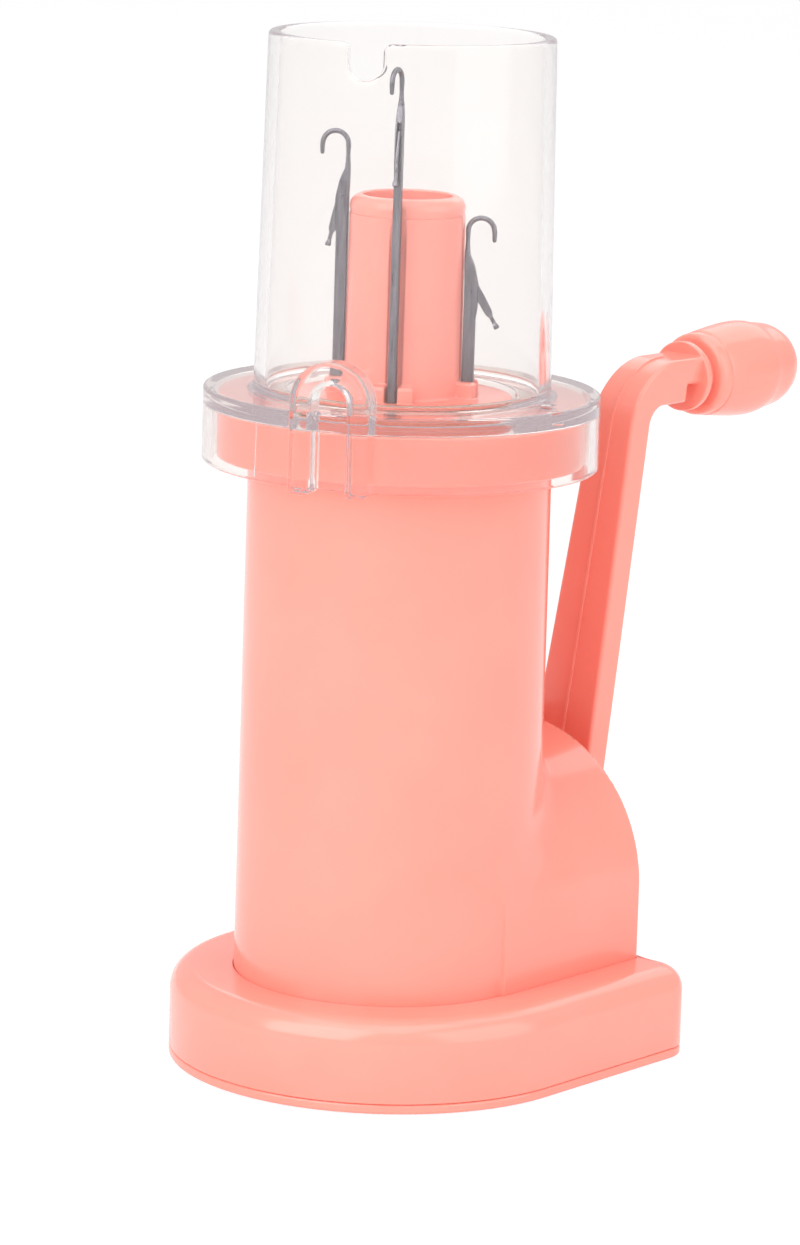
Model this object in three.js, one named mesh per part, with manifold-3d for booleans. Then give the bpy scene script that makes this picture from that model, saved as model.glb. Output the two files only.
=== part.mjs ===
// Hand-cranked i-cord knitting mill. Four latch needles stand in a turning needle cylinder inside a clear
// guard, and a crank at the back turns the cylinder through a crown gear. A fixed cam track lifts and lowers
// the needles, and the finished cord leaves down the middle of the tower.
// Millimetres, +Z up. The tower's own axis is x = y = 0 in every function below, the crank is on the +Y side,
// and the whole group is shifted at the end so that the origin is the middle of the footprint.
import * as THREE from 'three';
import { mergeVertices } from 'three/addons/utils/BufferGeometryUtils.js';
import Module from 'manifold-3d';

const wasm = await Module();
wasm.setup();

// ---------- driving dimensions ----------

const GAP = 0.3; // between pieces that touch on the real object
const SEGMENTS = { large: 60, small: 24, screw: 16, tiny: 10 };

const BASE = {
  halfWidth: 28.5, back: 31.5, top: 12.1, cornerRadius: 5, edgeRadius: 3.2, wall: 2, deck: 2.2,
  coverRim: 1.3, coverTop: 2.5, coverEdge: 0.5,
};

const TOWER = {
  footRadius: 20.17, neckRadius: 19.86, top: 87.3,
  boreRadius: 17.9, gearBoreRadius: 17.2, shelf: 41.5,
  humpRadius: 20.6, humpWall: 2, humpBack: 28.6,
  collarRadius: 24, collarBottom: 80.9, collarEdge: 0.3,
  ledgeReach: 1.5, ledgeHeight: 1.5,
  bossRadius: 3, bossPilot: 1.4, frontBossTop: 20, rearBossTop: 13,
  bushBossRadius: 6.2, bushBossFront: 20,
};
// where the cover screws go, as [x, y]
const SCREW_PLACES = [[-12.6, -9], [12.6, -9], [15.9, 23.9], [-15.9, 23.9]];

const CHIMNEY = { outer: 8, inner: 6.3, top: 36, mouth: 7.2 };

const GUARD = {
  rimRadius: 18.56, footRadius: 19.42, wall: 1.55, top: 136,
  plateTop: 89.9, plateBottom: 87.6, plateHole: 15,
  skirtRadius: 25.95, skirtWall: 1.3, skirtBottom: 80.1, edge: 0.5,
  notchWidth: 4.7, notchBottom: 131.2, notchFlare: 1,
  pegX: 21, pegY: 4.1, pegRadius: 1, pegBottom: 84.5, dimpleDepth: 0.5,
};
const FEED_AZIMUTH = 21.5; // degrees from -Y towards +X: the yarn guide and the notch above it
const GUIDE = { halfWidth: 5.35, eyeHalfWidth: 2.3, top: 96.9, bottom: 79.9, inner: 24.75, outer: 28.4 };

// the needle cylinder, from its hub on the chimney up to its mouth
const CYLINDER = {
  bore: 5.8, hubRadius: 9.6, hubBottom: 33.8, socketRadius: 8.35, socketTop: 36.9,
  crownRadius: 16.9, crownBottom: 38.2, crownTop: 41.2, barrelRadius: 11.6,
  discRadius: 14.4, discBottom: 87.7, discTop: 89.3,
  tubeFoot: 7.65, tubeTop: 7.5, top: 115.3, lipRadius: 1.7,
  grooveHalfWidth: 1.1, grooveFloor: 6.95, grooveTop: 112.7,
  slotHalfWidth: 0.75, slotFloor: 7.5, slotBottom: 45.5, slotReach: 9.65,
  lugOuter: 9.9, lugTop: 91.4, lugStart: 4.9, lugEnd: 17,
};

// crank gear and crown gear: equal tooth counts, so one turn of the crank is one turn of the cylinder
const TEETH = 24;
const CRANK_AXIS_Z = 21.6;
const SPUR = { tip: 16.1, root: 13.9, tipHalf: 0.45, rootHalf: 0.95, front: 13.3, back: 16.6, web: 1.1, rimInner: 12 };
const CROWN = { inner: 13.1, tip: 36.2, tipHalf: 0.45, rootHalf: 0.75 };

const SHAFT = { radius: 2.5, flat: 2, front: 12.8, back: 34, hubBack: 18.6, hubRadius: 5, pilot: 1.4 };
const BUSH = { outer: 4.45, bore: 2.8, front: 19.9, back: 28.9, flange: 5.8, flangeFront: 19.1, flangeBack: 19.7 };

// the crank: a hub, a tapered arm leaning towards +X, and a stub bent back along +Y
const CRANK = {
  front: 33, back: 37.2, hubRadius: 5.6, hubFront: 29.4,
  leftAtHub: -5.69, leftSlope: 0.178, rightAtHub: 5.48, rightSlope: 0.114,
  stubTop: 91.25, stubBottom: 85.2, stubBack: 44.5, bendOuter: 8.5, bendInner: 2.5,
  axleRadius: 2.9, axleBack: 66, snapBack: 50, pilot: 1.3,
};
const KNOB_AXIS = { x: 9.61, z: 88.2 };

// the cam track: how high a hook stands at each azimuth round the tower
const CAM = {
  hookLow: 109.3, hookHigh: 132.6, peak: 28, riseRate: 0.45, fallRate: 0.709,
  inner: 12.6, outer: 17.55, lowerFoot: 41.8, clearance: 1.3,
};

const NEEDLE = {
  azimuths: [31.75, -58.25, 121.75, 211.75], // front, left, right and back, seen from the feed side
  latchAngles: [20, 14, 30, 20], // how far each open latch hangs out from its stem
  inner: 7.75, outer: 9.3, halfThickness: 0.5, wire: 0.33,
  hookRadius: 1.7, hookCentre: 9.7, hookTip: -3.6, neck: -5.2, cheekTop: -6.6, cheekOuter: 9.5,
  pivotReach: 8.75, pivotDrop: -8.7, slotTop: -7.2, slotBottom: -13.2, slotFloor: 8.05, slotHalf: 0.25,
  buttDrop: -60, buttHalfHeight: 1, buttReach: 12.25, bottom: -61.5,
};
const LATCH = { length: 6.8, plate: 4.7, halfWidth: 0.5, tipHalf: 0.22, halfThickness: 0.18 };
const RIVET = { radius: 0.32, hole: 0.42, halfLength: 0.56 };

// ---------- materials ----------

const FINISHES = {
  shellPink: { color: 0xf7a491, roughness: 0.25, metalness: 0 },
  clearPlastic: { color: 0xf4e6e3, roughness: 0.05, metalness: 0, transparent: true, opacity: 0.3 },
  needleSteel: { color: 0x8d8a90, roughness: 0.3, metalness: 1 },
  zincSteel: { color: 0xb9bbbf, roughness: 0.35, metalness: 1 },
  naturalNylon: { color: 0xece7dc, roughness: 0.5, metalness: 0 },
};

// ---------- solids from three.js geometry ----------

const degrees = (angle) => THREE.MathUtils.degToRad(angle);

function toSolid(geometry) {
  const bare = geometry.clone();
  bare.deleteAttribute('normal');
  bare.deleteAttribute('uv');
  const merged = mergeVertices(bare, 1e-4);
  const index = merged.index.array;
  const kept = [];
  for (let i = 0; i < index.length; i += 3) {
    const [a, b, c] = [index[i], index[i + 1], index[i + 2]];
    if (a !== b && b !== c && c !== a) kept.push(a, b, c);
  }
  const mesh = { numProp: 3, vertProperties: merged.attributes.position.array, triVerts: new Uint32Array(kept) };
  return new wasm.Manifold(new wasm.Mesh(mesh));
}

function toGeometry(solid) {
  const { vertProperties, triVerts } = solid.getMesh();
  const geometry = new THREE.BufferGeometry();
  geometry.setAttribute('position', new THREE.BufferAttribute(vertProperties, 3));
  geometry.setIndex(new THREE.BufferAttribute(triVerts, 1));
  geometry.computeVertexNormals();
  return geometry;
}

function join(...geometries) {
  return toGeometry(geometries.map(toSolid).reduce((whole, piece) => whole.add(piece)));
}

function cut(geometry, ...tools) {
  return toGeometry(tools.map(toSolid).reduce((whole, tool) => whole.subtract(tool), toSolid(geometry)));
}

function common(first, second) {
  return toGeometry(toSolid(first).intersect(toSolid(second)));
}

// a solid of revolution about Z. The [radius, z] profile runs anticlockwise, and closes on itself
// unless it starts and ends on the axis.
function revolve(profile, segments = SEGMENTS.large) {
  const points = profile.map(([radius, z]) => new THREE.Vector2(radius, z));
  const onAxis = profile[0][0] === 0 && profile.at(-1)[0] === 0;
  if (!onAxis) points.push(points[0].clone());
  return new THREE.LatheGeometry(points, segments).rotateX(Math.PI / 2);
}

function extrudeUp(shape, bottom, top) {
  return new THREE.ExtrudeGeometry(shape, { depth: top - bottom, bevelEnabled: false }).translate(0, 0, bottom);
}

// a shape drawn in x and z, extruded from y = front to y = back
function extrudeBack(shape, front, back) {
  return extrudeUp(shape, 0, back - front).rotateX(Math.PI / 2).translate(0, back, 0);
}

// a shape drawn in y and z, extruded from x = left to x = right
function extrudeAcross(shape, left, right) {
  const turn = new THREE.Matrix4().makeBasis(
    new THREE.Vector3(0, 1, 0),
    new THREE.Vector3(0, 0, 1),
    new THREE.Vector3(1, 0, 0),
  );
  return extrudeUp(shape, left, right).applyMatrix4(turn);
}

function rod(radius, bottom, top, segments = SEGMENTS.small) {
  return revolve([[0, bottom], [radius, bottom], [radius, top], [0, top]], segments);
}

// a rod along Y at height z
function rodBack(radius, front, back, x, z, segments = SEGMENTS.small) {
  return rod(radius, front, back, segments).rotateX(-Math.PI / 2).translate(x, 0, z);
}

function block(low, high) {
  const [x, y, z] = [0, 1, 2].map((axis) => high[axis] - low[axis]);
  return new THREE.BoxGeometry(x, y, z)
    .translate((low[0] + high[0]) / 2, (low[1] + high[1]) / 2, (low[2] + high[2]) / 2);
}

function outline(points) {
  return new THREE.Shape(points.map(([x, y]) => new THREE.Vector2(x, y)));
}

// points along an arc from one angle to another, in degrees
function arc(x, y, radius, from, to, steps) {
  return Array.from({ length: steps + 1 }, (_, i) => {
    const angle = degrees(from + (to - from) * i / steps);
    return [x + radius * Math.cos(angle), y + radius * Math.sin(angle)];
  });
}

// turns something built along +X so that it points at an azimuth, counted from -Y towards +X
const azimuthTurn = (azimuth) => degrees(azimuth - 90);
const aim = (geometry, azimuth) => geometry.rotateZ(azimuthTurn(azimuth));

// ---------- outlines ----------

// a half circle at the front and straight sides back to square-ish corners
function footprint(halfWidth, back, cornerRadius) {
  const [x, y] = [halfWidth - cornerRadius, back - cornerRadius];
  return outline([
    ...arc(0, 0, halfWidth, 180, 360, SEGMENTS.large / 2),
    ...arc(x, y, cornerRadius, 0, 90, 5),
    ...arc(-x, y, cornerRadius, 90, 180, 5),
  ]);
}

// the gear hump seen from behind: straight sides under a half circle about the crank axis
function tombstone(radius, bottom) {
  return outline([[-radius, bottom], [radius, bottom], ...arc(0, CRANK_AXIS_Z, radius, 0, 180, SEGMENTS.large / 2)]);
}

// a round bar's section with a flat on either side
function doubleFlat(radius, flat) {
  const half = THREE.MathUtils.radToDeg(Math.asin(flat / radius));
  return outline([
    ...arc(0, 0, radius, 90 - half, half - 90, 6).map(([x, y]) => [-x, y]),
    ...arc(0, 0, radius, half - 90, 90 - half, 6),
  ]);
}

// ---------- base ----------

function baseShell() {
  const { halfWidth, back, top, cornerRadius, edgeRadius, wall, deck, coverRim } = BASE;
  const below = 2 * edgeRadius;
  const body = new THREE.ExtrudeGeometry(footprint(halfWidth, back, cornerRadius), {
    depth: top + below - 2 * edgeRadius,
    bevelThickness: edgeRadius,
    bevelSize: edgeRadius,
    bevelOffset: -edgeRadius,
    bevelSegments: 4,
  }).translate(0, 0, edgeRadius - below);
  const reach = 2 * halfWidth;
  const under = block([-reach, -reach, -reach], [reach, reach, coverRim + GAP]);
  const hollow = extrudeUp(footprint(halfWidth - wall, back - wall, cornerRadius - wall), 0, top - deck);
  const towerRadius = TOWER.footRadius + GAP;
  const humpHalf = TOWER.humpRadius + GAP;
  const front = revolve([[0, 0], [towerRadius, 0], [towerRadius, 2 * top], [0, 2 * top]]);
  const rear = block([-humpHalf, 0, 0], [humpHalf, TOWER.humpBack + GAP, 2 * top]);
  return cut(body, under, hollow, front, rear);
}

function bottomCover() {
  const { halfWidth, back, cornerRadius, wall, coverRim, coverTop, coverEdge } = BASE;
  const rim = new THREE.ExtrudeGeometry(footprint(halfWidth, back, cornerRadius), {
    depth: coverRim - 2 * coverEdge,
    bevelThickness: coverEdge,
    bevelSize: coverEdge,
    bevelOffset: -coverEdge,
    bevelSegments: 1,
  }).translate(0, 0, coverEdge);
  const inset = wall + GAP;
  const plate = extrudeUp(footprint(halfWidth - inset, back - inset, cornerRadius - wall), coverRim / 2, coverTop);
  const chimney = rod(CHIMNEY.outer, coverRim / 2, CHIMNEY.top);
  const mouthDepth = coverTop;
  const bore = revolve([
    [0, -1], [CHIMNEY.mouth, -1], [CHIMNEY.mouth, 0], [CHIMNEY.inner, mouthDepth],
    [CHIMNEY.inner, CHIMNEY.top + 1], [0, CHIMNEY.top + 1],
  ], SEGMENTS.small);
  const sinks = SCREW_PLACES.map(([x, y]) => screwSink().translate(x, y, 0));
  return cut(join(rim, plate, chimney), bore, ...sinks);
}

// a countersunk screw pointing up, its head at the underside of the cover
const COVER_SCREW = { headRadius: 2.4, headBottom: 0.4, headTop: 1.8, shank: 1.1, top: 10 };

function screwSink() {
  const { headRadius, headBottom, headTop, shank } = COVER_SCREW;
  const [wide, narrow] = [headRadius + GAP, shank + GAP];
  return revolve([
    [0, -1], [wide, -1], [wide, headBottom], [narrow, headTop], [narrow, 2 * headTop], [0, 2 * headTop],
  ], SEGMENTS.screw);
}

function coverScrew() {
  const { headRadius, headBottom, headTop, shank, top } = COVER_SCREW;
  const body = revolve([
    [0, headBottom], [headRadius, headBottom], [shank, headTop], [shank, top - shank], [0, top],
  ], SEGMENTS.screw);
  return cut(body, ...crossSlots(headBottom - 1, headBottom + 0.7));
}

// the cross recess of a small screw, cut between two heights
function crossSlots(low, high) {
  const [half, width] = [1.3, 0.3];
  return [block([-half, -width, low], [half, width, high]), block([-width, -half, low], [width, half, high])];
}

// ---------- tower ----------

function towerShell() {
  const foot = BASE.coverTop + GAP;
  const { humpRadius, humpWall, humpBack, boreRadius, gearBoreRadius, shelf, top } = TOWER;
  const column = revolve([
    [0, foot], [TOWER.footRadius, foot], [TOWER.neckRadius, TOWER.collarBottom],
    [TOWER.collarRadius - TOWER.collarEdge, TOWER.collarBottom],
    [TOWER.collarRadius, TOWER.collarBottom + TOWER.collarEdge],
    [TOWER.collarRadius, top - TOWER.collarEdge], [TOWER.collarRadius - TOWER.collarEdge, top], [0, top],
  ]);
  const hump = extrudeBack(tombstone(humpRadius, foot), 0, humpBack);
  const outside = join(column, hump, ledge());
  const room = extrudeBack(tombstone(humpRadius - humpWall, -1), -1, humpBack - humpWall);
  const bore = revolve([
    [0, -1], [gearBoreRadius, -1], [gearBoreRadius, shelf], [boreRadius, shelf], [boreRadius, top + 1], [0, top + 1],
  ]);
  const shell = cut(outside, bore, room);
  const { bushBossRadius, bushBossFront } = TOWER;
  const bushBoss = rodBack(bushBossRadius, bushBossFront, humpBack - humpWall / 2, 0, CRANK_AXIS_Z);
  const bushHole = rodBack(BUSH.outer + GAP, bushBossFront - 1, humpBack + 1, 0, CRANK_AXIS_Z);
  const pegHoles = pegPlaces().map(([x, y]) => (
    rod(GUARD.pegRadius + GAP, GUARD.pegBottom - 1, top + 1, SEGMENTS.tiny).translate(x, y, 0)
  ));
  const pilots = SCREW_PLACES.map(([x, y]) => (
    rod(TOWER.bossPilot, 0, COVER_SCREW.top + 1, SEGMENTS.tiny).translate(x, y, 0)
  ));
  return cut(join(shell, bushBoss, ...screwBosses()), bushHole, ...pegHoles, ...pilots);
}

const pegPlaces = () => [[-GUARD.pegX, GUARD.pegY], [GUARD.pegX, GUARD.pegY]];

// the ledge under the base's deck that the bottom cover clamps
function ledge() {
  const { footRadius, humpRadius, humpBack, ledgeReach, ledgeHeight } = TOWER;
  const ledgeTop = BASE.top - BASE.deck - GAP;
  const bottom = ledgeTop - ledgeHeight;
  const front = rod(footRadius + ledgeReach, bottom, ledgeTop, SEGMENTS.large);
  const half = humpRadius + ledgeReach;
  return join(front, block([-half, 0, bottom], [half, humpBack, ledgeTop]));
}

function screwBosses() {
  const foot = BASE.coverTop + GAP;
  return SCREW_PLACES.map(([x, y]) => {
    const top = y < 0 ? TOWER.frontBossTop : TOWER.rearBossTop;
    return rod(TOWER.bossRadius, foot, top, SEGMENTS.screw).translate(x, y, 0);
  });
}

// ---------- clear guard ----------

function clearGuard() {
  const g = GUARD;
  const rimEdge = g.edge / 2;
  const body = revolve([
    [g.plateHole, g.plateBottom], [g.skirtRadius - g.skirtWall, g.plateBottom],
    [g.skirtRadius - g.skirtWall, g.skirtBottom], [g.skirtRadius, g.skirtBottom],
    [g.skirtRadius, g.plateTop - g.edge], [g.skirtRadius - g.edge, g.plateTop], [g.footRadius, g.plateTop],
    [g.rimRadius, g.top - rimEdge], [g.rimRadius - rimEdge, g.top], [g.rimRadius - g.wall + rimEdge, g.top],
    [g.rimRadius - g.wall, g.top - rimEdge], [g.footRadius - g.wall, g.plateTop], [g.plateHole, g.plateTop],
  ]);
  const pegs = pegPlaces().map(([x, y]) => (
    rod(g.pegRadius, g.pegBottom, (g.plateTop + g.plateBottom) / 2, SEGMENTS.tiny).translate(x, y, 0)
  ));
  const dimples = pegPlaces().map(([x, y]) => (
    rod(g.pegRadius, g.plateTop - g.dimpleDepth, g.plateTop + 1, SEGMENTS.tiny).translate(x, y, 0)
  ));
  const skirtSlot = aim(
    block([g.plateHole, -GUIDE.eyeHalfWidth, GUIDE.bottom - 1], [GUIDE.inner + 1, GUIDE.eyeHalfWidth, g.plateBottom]),
    FEED_AZIMUTH,
  );
  const notch = aim(extrudeAcross(rimNotch(), g.rimRadius / 2, 2 * g.rimRadius), FEED_AZIMUTH);
  return cut(join(body, yarnGuide(), ...pegs), skirtSlot, notch, ...dimples);
}

// an arch on two legs, standing on the guard's skirt
function yarnGuide() {
  const { halfWidth, eyeHalfWidth, top, bottom, inner, outer } = GUIDE;
  const centre = top - halfWidth;
  const arch = (half, foot) => outline([[-half, foot], [half, foot], ...arc(0, centre, half, 0, 180, 14)]);
  const solid = extrudeAcross(arch(halfWidth, bottom), inner, outer);
  const eye = extrudeAcross(arch(eyeHalfWidth, bottom - 1), inner - 1, outer + 1);
  return aim(cut(solid, eye), FEED_AZIMUTH);
}

// the U in the guard's rim that the yarn drops into
function rimNotch() {
  const { notchWidth, notchBottom, notchFlare, top } = GUARD;
  const half = notchWidth / 2;
  const side = half + notchFlare;
  return outline([
    ...arc(0, notchBottom + half, half, 180, 360, 12),
    ...arc(side, top - notchFlare, notchFlare, 180, 90, 3),
    [side, top + 1], [-side, top + 1],
    ...arc(-side, top - notchFlare, notchFlare, 90, 0, 3),
  ]);
}

// ---------- needle cylinder and its bearing ----------

function needleCylinder() {
  const c = CYLINDER;
  const lip = [1, 0.5, 0].map((share) => {
    const angle = share * Math.PI / 2;
    return [c.tubeTop - c.lipRadius * (1 - Math.cos(Math.PI / 2 - angle)), c.top - c.lipRadius * (1 - Math.cos(angle))];
  });
  const body = revolve([
    [c.socketRadius, c.hubBottom], [c.hubRadius, c.hubBottom], [c.hubRadius, c.crownBottom],
    [c.crownRadius, c.crownBottom], [c.crownRadius, c.crownTop], [c.barrelRadius, c.crownTop],
    [c.barrelRadius, c.discBottom], [c.discRadius, c.discBottom], [c.discRadius, c.discTop],
    [c.tubeFoot, c.discTop], ...lip, [c.bore, c.top], [c.bore, c.socketTop], [c.socketRadius, c.socketTop],
  ], SEGMENTS.large);
  const slots = NEEDLE.azimuths.flatMap((azimuth) => needleSlots().map((tool) => aim(tool, azimuth)));
  const lugs = NEEDLE.azimuths.flatMap((azimuth) => needleLugs().map((lug) => aim(lug, azimuth)));
  return join(cut(join(body, ...lugs), ...slots), ...crownTeeth());
}

// a deep slot through the barrel and the disc, and a shallow groove up the tube
function needleSlots() {
  const c = CYLINDER;
  const w = c.slotHalfWidth;
  return [
    block([c.slotFloor, -w, c.slotBottom], [c.slotReach, w, c.top]),
    block([c.slotReach - 1, -w, c.slotBottom], [c.barrelRadius + 1, w, c.discBottom - 1]),
    block([c.grooveFloor, -c.grooveHalfWidth, c.lugTop], [c.slotReach, c.grooveHalfWidth, c.grooveTop]),
  ];
}

// two lugs that keep a needle upright at the foot of the tube
function needleLugs() {
  const { lugOuter, lugStart, lugEnd, lugTop, discTop, bore, tubeFoot } = CYLINDER;
  const inner = (bore + tubeFoot) / 2;
  return [[lugStart, lugEnd], [-lugEnd, -lugStart]].map(([from, to]) => {
    const shape = outline([...arc(0, 0, lugOuter, from, to, 3), ...arc(0, 0, inner, to, from, 3)]);
    return extrudeUp(shape, discTop - 1, lugTop);
  });
}

// radial ribs under the crown disc. A gap between ribs faces +Y, where the crank gear's top tooth stands.
function crownTeeth() {
  const { inner, tip, tipHalf, rootHalf } = CROWN;
  const { crownBottom, crownRadius } = CYLINDER;
  const overlap = 0.2;
  const rib = outline([
    [-tipHalf, tip], [tipHalf, tip], [rootHalf, crownBottom], [rootHalf, crownBottom + overlap],
    [-rootHalf, crownBottom + overlap], [-rootHalf, crownBottom],
  ]);
  const pitch = 360 / TEETH;
  return Array.from({ length: TEETH }, (_, i) => (
    extrudeAcross(rib, inner, crownRadius - overlap).rotateZ(degrees(90 + (i + 0.5) * pitch))
  ));
}

function thrustWasher() {
  const [bottom, top] = [CHIMNEY.top + 0.2, CYLINDER.socketTop - 0.2];
  const [inner, outer] = [CHIMNEY.inner + 0.1, CHIMNEY.outer];
  return revolve([[inner, bottom], [outer, bottom], [outer, top], [inner, top]], SEGMENTS.small);
}

// ---------- cams ----------

// hook height at an azimuth: a slow climb to the peak at the yarn guide, then a quicker fall to the low dwell
function hookHeight(azimuth) {
  const past = THREE.MathUtils.euclideanModulo(azimuth - CAM.peak, 360);
  const fall = CAM.fallRate * past;
  const climb = CAM.riseRate * (360 - past);
  const share = fall < 90 ? Math.cos(degrees(fall)) ** 2 : climb < 90 ? Math.cos(degrees(climb)) ** 2 : 0;
  return CAM.hookLow + (CAM.hookHigh - CAM.hookLow) * share;
}

// a ring whose edge at z = marker is moved to follow the needle butts' path at a clearance above or below it
function camRing(bottom, top, marker, side) {
  const { inner, outer, clearance } = CAM;
  const ring = revolve([[inner, bottom], [outer, bottom], [outer, top], [inner, top]]);
  const position = ring.attributes.position;
  for (let i = 0; i < position.count; i += 1) {
    if (Math.abs(position.getZ(i) - marker) > 1e-3) continue;
    const azimuth = THREE.MathUtils.radToDeg(Math.atan2(position.getX(i), -position.getY(i)));
    position.setZ(i, hookHeight(azimuth) + NEEDLE.buttDrop + side * clearance);
  }
  return toGeometry(toSolid(ring));
}

const camLower = () => camRing(CAM.lowerFoot, TOWER.top, TOWER.top, -1);
const camUpper = () => camRing(CAM.lowerFoot, TOWER.top, CAM.lowerFoot, 1);

// ---------- crank drive ----------

// built about the crank axis at z = 0, like every piece of the drive
function driveGear() {
  const { tip, root, tipHalf, rootHalf, front, back, web, rimInner } = SPUR;
  const shape = [];
  for (let i = 0; i < TEETH; i += 1) {
    const middle = Math.PI / 2 + i * 2 * Math.PI / TEETH;
    const corners = [[root, -rootHalf / root], [tip, -tipHalf / tip], [tip, tipHalf / tip], [root, rootHalf / root]];
    corners.forEach(([radius, turn]) => {
      shape.push([radius * Math.cos(middle + turn), radius * Math.sin(middle + turn)]);
    });
  }
  const gear = extrudeBack(outline(shape), front, back);
  const ring = revolve([
    [SHAFT.hubRadius, -1], [rimInner, -1], [rimInner, web], [SHAFT.hubRadius, web],
  ], SEGMENTS.small);
  const recess = (y) => ring.clone().rotateX(-Math.PI / 2).translate(0, y, 0);
  const hub = rodBack(SHAFT.hubRadius, front + 1, SHAFT.hubBack, 0, 0);
  const hole = extrudeBack(doubleFlat(SHAFT.radius + GAP, SHAFT.flat + GAP), front - 1, SHAFT.hubBack + 1);
  return cut(join(cut(gear, recess(front), recess(back)), hub), hole);
}

function crankShaft() {
  const { radius, flat, front, back, hubBack, pilot } = SHAFT;
  const section = doubleFlat(radius, flat);
  const ends = extrudeBack(section, front, back);
  const journal = rodBack(radius, hubBack + GAP, CRANK.hubFront - GAP, 0, 0);
  const hole = rodBack(pilot, back - 6, back + 1, 0, 0, SEGMENTS.tiny);
  return cut(join(ends, journal), hole);
}

function shaftBush() {
  const { outer, bore, front, back, flange, flangeFront, flangeBack } = BUSH;
  return revolve([
    [bore, flangeFront], [flange, flangeFront], [flange, flangeBack], [outer, flangeBack],
    [outer, front], [outer, back], [bore, back],
  ], SEGMENTS.small).rotateX(-Math.PI / 2);
}

const CRANK_SCREW = { headRadius: 2.5, headFront: 35.9, headBack: 37.4, shank: 1.1, front: 30.5 };

function crankArm() {
  const profile = extrudeAcross(crankProfile(), -2 * CRANK.hubRadius, 4 * CRANK.hubRadius);
  const arm = common(profile, extrudeBack(crankOutline(), 0, 2 * CRANK.stubBack));
  const hub = rodBack(CRANK.hubRadius, CRANK.hubFront, CRANK.back, 0, 0);
  const z = KNOB_AXIS.z - CRANK_AXIS_Z;
  const axle = rodBack(CRANK.axleRadius, CRANK.stubBack - 1, CRANK.axleBack, KNOB_AXIS.x, z);
  const reach = CRANK.axleRadius + 1;
  const snap = block(
    [KNOB_AXIS.x - reach, CRANK.stubBack, z - reach],
    [KNOB_AXIS.x + reach, CRANK.snapBack, z - 0.7],
  );
  const socket = extrudeBack(doubleFlat(SHAFT.radius + GAP, SHAFT.flat + GAP), 0, SHAFT.back + GAP);
  const head = rodBack(CRANK_SCREW.headRadius + GAP, CRANK_SCREW.headFront - GAP, CRANK.back + 1, 0, 0);
  const shank = rodBack(CRANK_SCREW.shank + GAP, SHAFT.back, CRANK.back, 0, 0, SEGMENTS.tiny);
  const { pilot, axleBack } = CRANK;
  const knobPilot = rodBack(pilot, axleBack - 8, axleBack + 1, KNOB_AXIS.x, z, SEGMENTS.tiny);
  return cut(join(arm, hub, cut(axle, snap)), socket, head, shank, knobPilot);
}

// the crank from the side: up the arm, round the bend and back along the stub, in y and z about the crank axis
function crankProfile() {
  const { front, back, stubTop, stubBottom, stubBack, bendOuter, bendInner } = CRANK;
  const [top, under] = [stubTop - CRANK_AXIS_Z, stubBottom - CRANK_AXIS_Z];
  return outline([
    [back, 0],
    ...arc(back + bendInner, under - bendInner, bendInner, 180, 90, 5),
    [stubBack, under], [stubBack, top],
    ...arc(front + bendOuter, top - bendOuter, bendOuter, 90, 180, 10),
    [front, 0],
  ]);
}

// the crank from behind: a tapered bar leaning towards +X
function crankOutline() {
  const { leftAtHub, leftSlope, rightAtHub, rightSlope, stubTop } = CRANK;
  const top = stubTop - CRANK_AXIS_Z + 1;
  return outline([
    [leftAtHub, 0], [rightAtHub, 0], [rightAtHub + rightSlope * top, top], [leftAtHub + leftSlope * top, top],
  ]);
}

function crankScrew() {
  const { headRadius, headFront, headBack, shank, front } = CRANK_SCREW;
  const body = revolve([
    [0, front], [shank, front], [shank, headFront], [headRadius, headFront],
    [headRadius, headBack - 0.5], [headRadius - 0.6, headBack], [0, headBack],
  ], SEGMENTS.screw);
  return cut(body, ...crossSlots(headBack - 0.8, headBack + 1)).rotateX(-Math.PI / 2);
}

const KNOB = {
  mouth: 47.9, mouthOuter: 4.8, mouthInner: 4, mouthDepth: 52, bore: 3.2, web: 66.3, webBack: 66.9,
  end: 69.4, recess: 2.35, screwHole: 1.35,
};

// built about its own axis, with y kept as on the crank
function knob() {
  const k = KNOB;
  return revolve([
    [k.mouthInner, k.mouth], [k.mouthOuter, k.mouth], [k.mouthOuter, 49.2], [4.5, 49.4], [4.5, 49.9],
    [5.5, 50], [5.8, 51.4], [5.95, 54], [6.25, 57], [6.35, 59.3], [6.2, 60.9], [5.85, 62], [5.65, 64],
    [5.4, 65.8], [4.9, 67.2], [4.1, 68.4], [3.1, 69.1], [k.recess, k.end],
    [k.recess, k.webBack], [k.screwHole, k.webBack], [k.screwHole, k.web], [k.bore, k.web],
    [k.bore, k.mouthDepth], [k.mouthInner, k.mouthDepth - 0.8],
  ], SEGMENTS.small).rotateX(-Math.PI / 2);
}

const KNOB_SCREW = { headRadius: 2, headFront: 67.15, headBack: 68.4, shank: 1, front: 59 };

function knobScrew() {
  const { headRadius, headFront, headBack, shank, front } = KNOB_SCREW;
  const body = revolve([
    [0, front], [shank, front], [shank, headFront], [headRadius, headFront],
    [headRadius, headBack - 0.4], [headRadius - 0.5, headBack], [0, headBack],
  ], SEGMENTS.screw);
  return cut(body, ...crossSlots(headBack - 0.6, headBack + 1)).rotateX(-Math.PI / 2);
}

// ---------- needles ----------

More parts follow.
